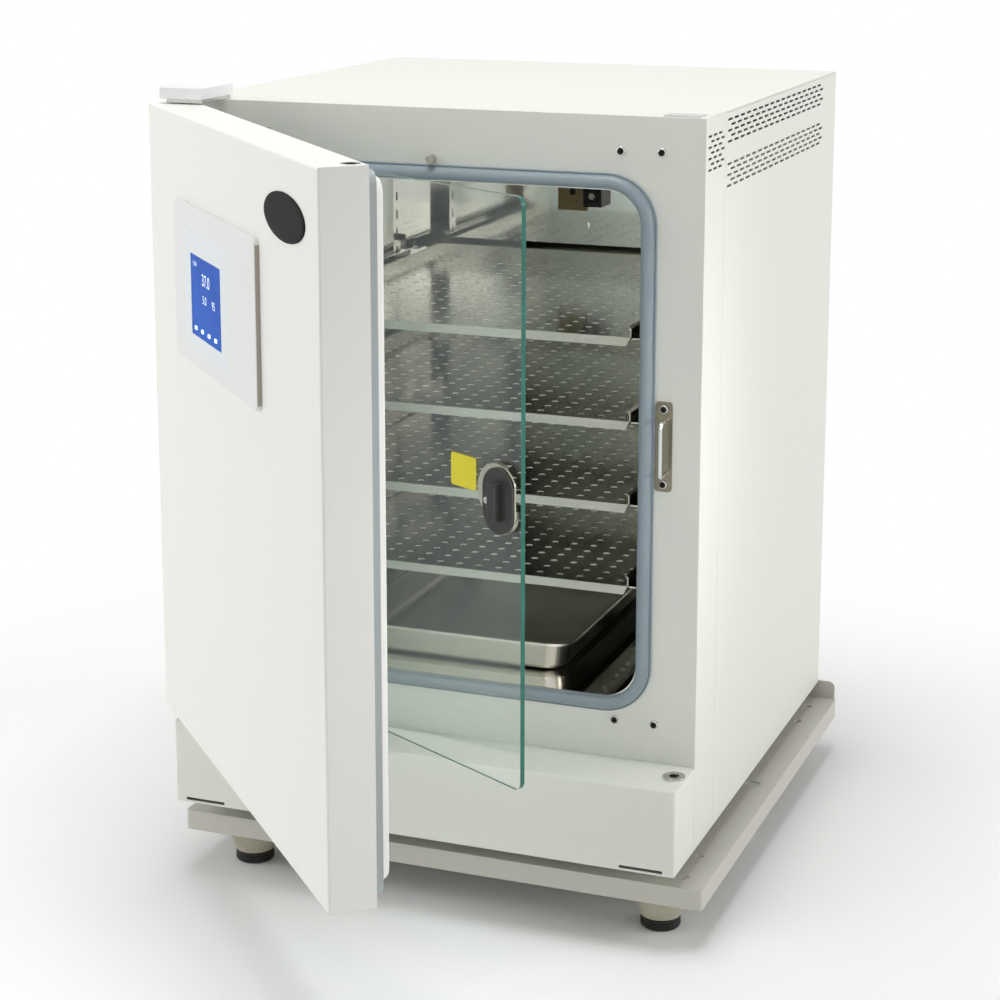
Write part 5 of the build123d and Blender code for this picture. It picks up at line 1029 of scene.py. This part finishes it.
# %% Floor
def seen_directly(material):
    """One for rays from the camera, off glossy surfaces and through glass, otherwise zero."""
    rays = add_node(material, "ShaderNodeLightPath").outputs
    sharp = add_node(material, "ShaderNodeMath", {},
                     {0: rays["Is Glossy Ray"], 1: rays["Is Transmission Ray"]}, operation="MAXIMUM")
    seen = add_node(material, "ShaderNodeMath", {}, {0: rays["Is Camera Ray"], 1: sharp.outputs["Value"]},
                    operation="MAXIMUM")
    return seen.outputs["Value"]


deselect()
bpy.ops.mesh.primitive_plane_add(size=40, location=(0, 0, 0))
floor = bpy.context.object
floor.name = "studio_floor"
floor_paint, floor_output = new_material("matt_white_floor")
floor_place = add_node(floor_paint, "ShaderNodeTexCoord").outputs["Object"]
floor_reach = add_node(floor_paint, "ShaderNodeVectorMath", {}, {0: floor_place}, operation="LENGTH")
floor_fade = add_node(floor_paint, "ShaderNodeMapRange", {"From Min": 0.65, "From Max": 1.35},
                      {"Value": floor_reach.outputs["Value"]})
floor_share = add_node(floor_paint, "ShaderNodeMath", {},
                       {0: floor_fade.outputs["Result"], 1: seen_directly(floor_paint)},
                       operation="MULTIPLY")
floor_matt = add_node(floor_paint, "ShaderNodeBsdfDiffuse", {"Color": linear("#fafafa")})
floor_glow = add_node(floor_paint, "ShaderNodeEmission", {"Strength": 1.0})
blend(floor_paint, floor_output, floor_share.outputs["Value"],
      floor_matt.outputs["BSDF"], floor_glow.outputs["Emission"])
floor.data.materials.append(floor_paint)

# %% World
world = bpy.data.worlds.new("studio")
bpy.context.scene.world = world
world.use_nodes = True
world.node_tree.nodes.clear()
world_output = add_node(world, "ShaderNodeOutputWorld")
world_level = add_node(world, "ShaderNodeMapRange", {"To Min": 0.37, "To Max": 1.0},
                       {"Value": seen_directly(world)})
world_light = add_node(world, "ShaderNodeBackground", {"Color": (1, 1, 1, 1)},
                       {"Strength": world_level.outputs["Result"]})
world.node_tree.links.new(world_light.outputs["Background"], world_output.inputs["Surface"])

# %% [markdown]
# Large soft boxes surround the part. The left one lights the open door, the right one stands a
# little behind and lights the cabinet's side, one hangs above, and a weak one stands beside the
# camera. A small one with a narrow grid shines between the doors, onto the outer door's inner
# face, because that is what the chamber's mirror-like walls show.


# %% Lamps
def soft_box(name, place, target, size, power, spread=180):
    """A square area lamp that faces a target, with a grid over it where its light is kept narrow."""
    deselect()
    bpy.ops.object.light_add(type="AREA", location=place)
    lamp = bpy.context.object
    lamp.name = name
    lamp.data.shape = "SQUARE"
    lamp.data.size = size
    lamp.data.energy = power
    lamp.data.spread = math.radians(spread)
    lamp.rotation_euler = (Vector(target) - Vector(place)).to_track_quat("-Z", "Y").to_euler()


soft_box("left_soft_box", (-3.3, -1.4, 1.7), (0, -0.3, 0.5), 1.6, 50)
soft_box("right_soft_box", (3.3, 1.1, 1.5), (0.3, 0.2, 0.5), 1.6, 40)
soft_box("top_soft_box", (0, -0.2, 3.6), (0, 0, 0.9), 1.6, 54)
soft_box("door_gap_soft_box", (2.6, -0.75, 0.9), (-0.15, -0.15, 0.55), 0.5, 0.5, spread=18)
soft_box("front_soft_box", (1.5, -3.4, 1.3), (0.1, 0, 0.5), 1.8, 6)

# %% [markdown]
# The camera stands where the photographer stood: about two and a half metres away, right of the
# part and a little above it, with a long lens. The small shift puts the part in the middle.

# %% Camera
deselect()
bpy.ops.object.camera_add(location=(1.0323, -2.5673, 1.2413),
                          rotation=(math.radians(90 - 11.79), 0, math.radians(21.06)))
camera = bpy.context.object
camera.name = "photo_camera"
camera.data.sensor_width = 36
camera.data.lens = 85.05
camera.data.shift_x = 0.00735
camera.data.shift_y = -0.15
bpy.context.scene.camera = camera
bpy.context.scene.view_settings.view_transform = "Standard"
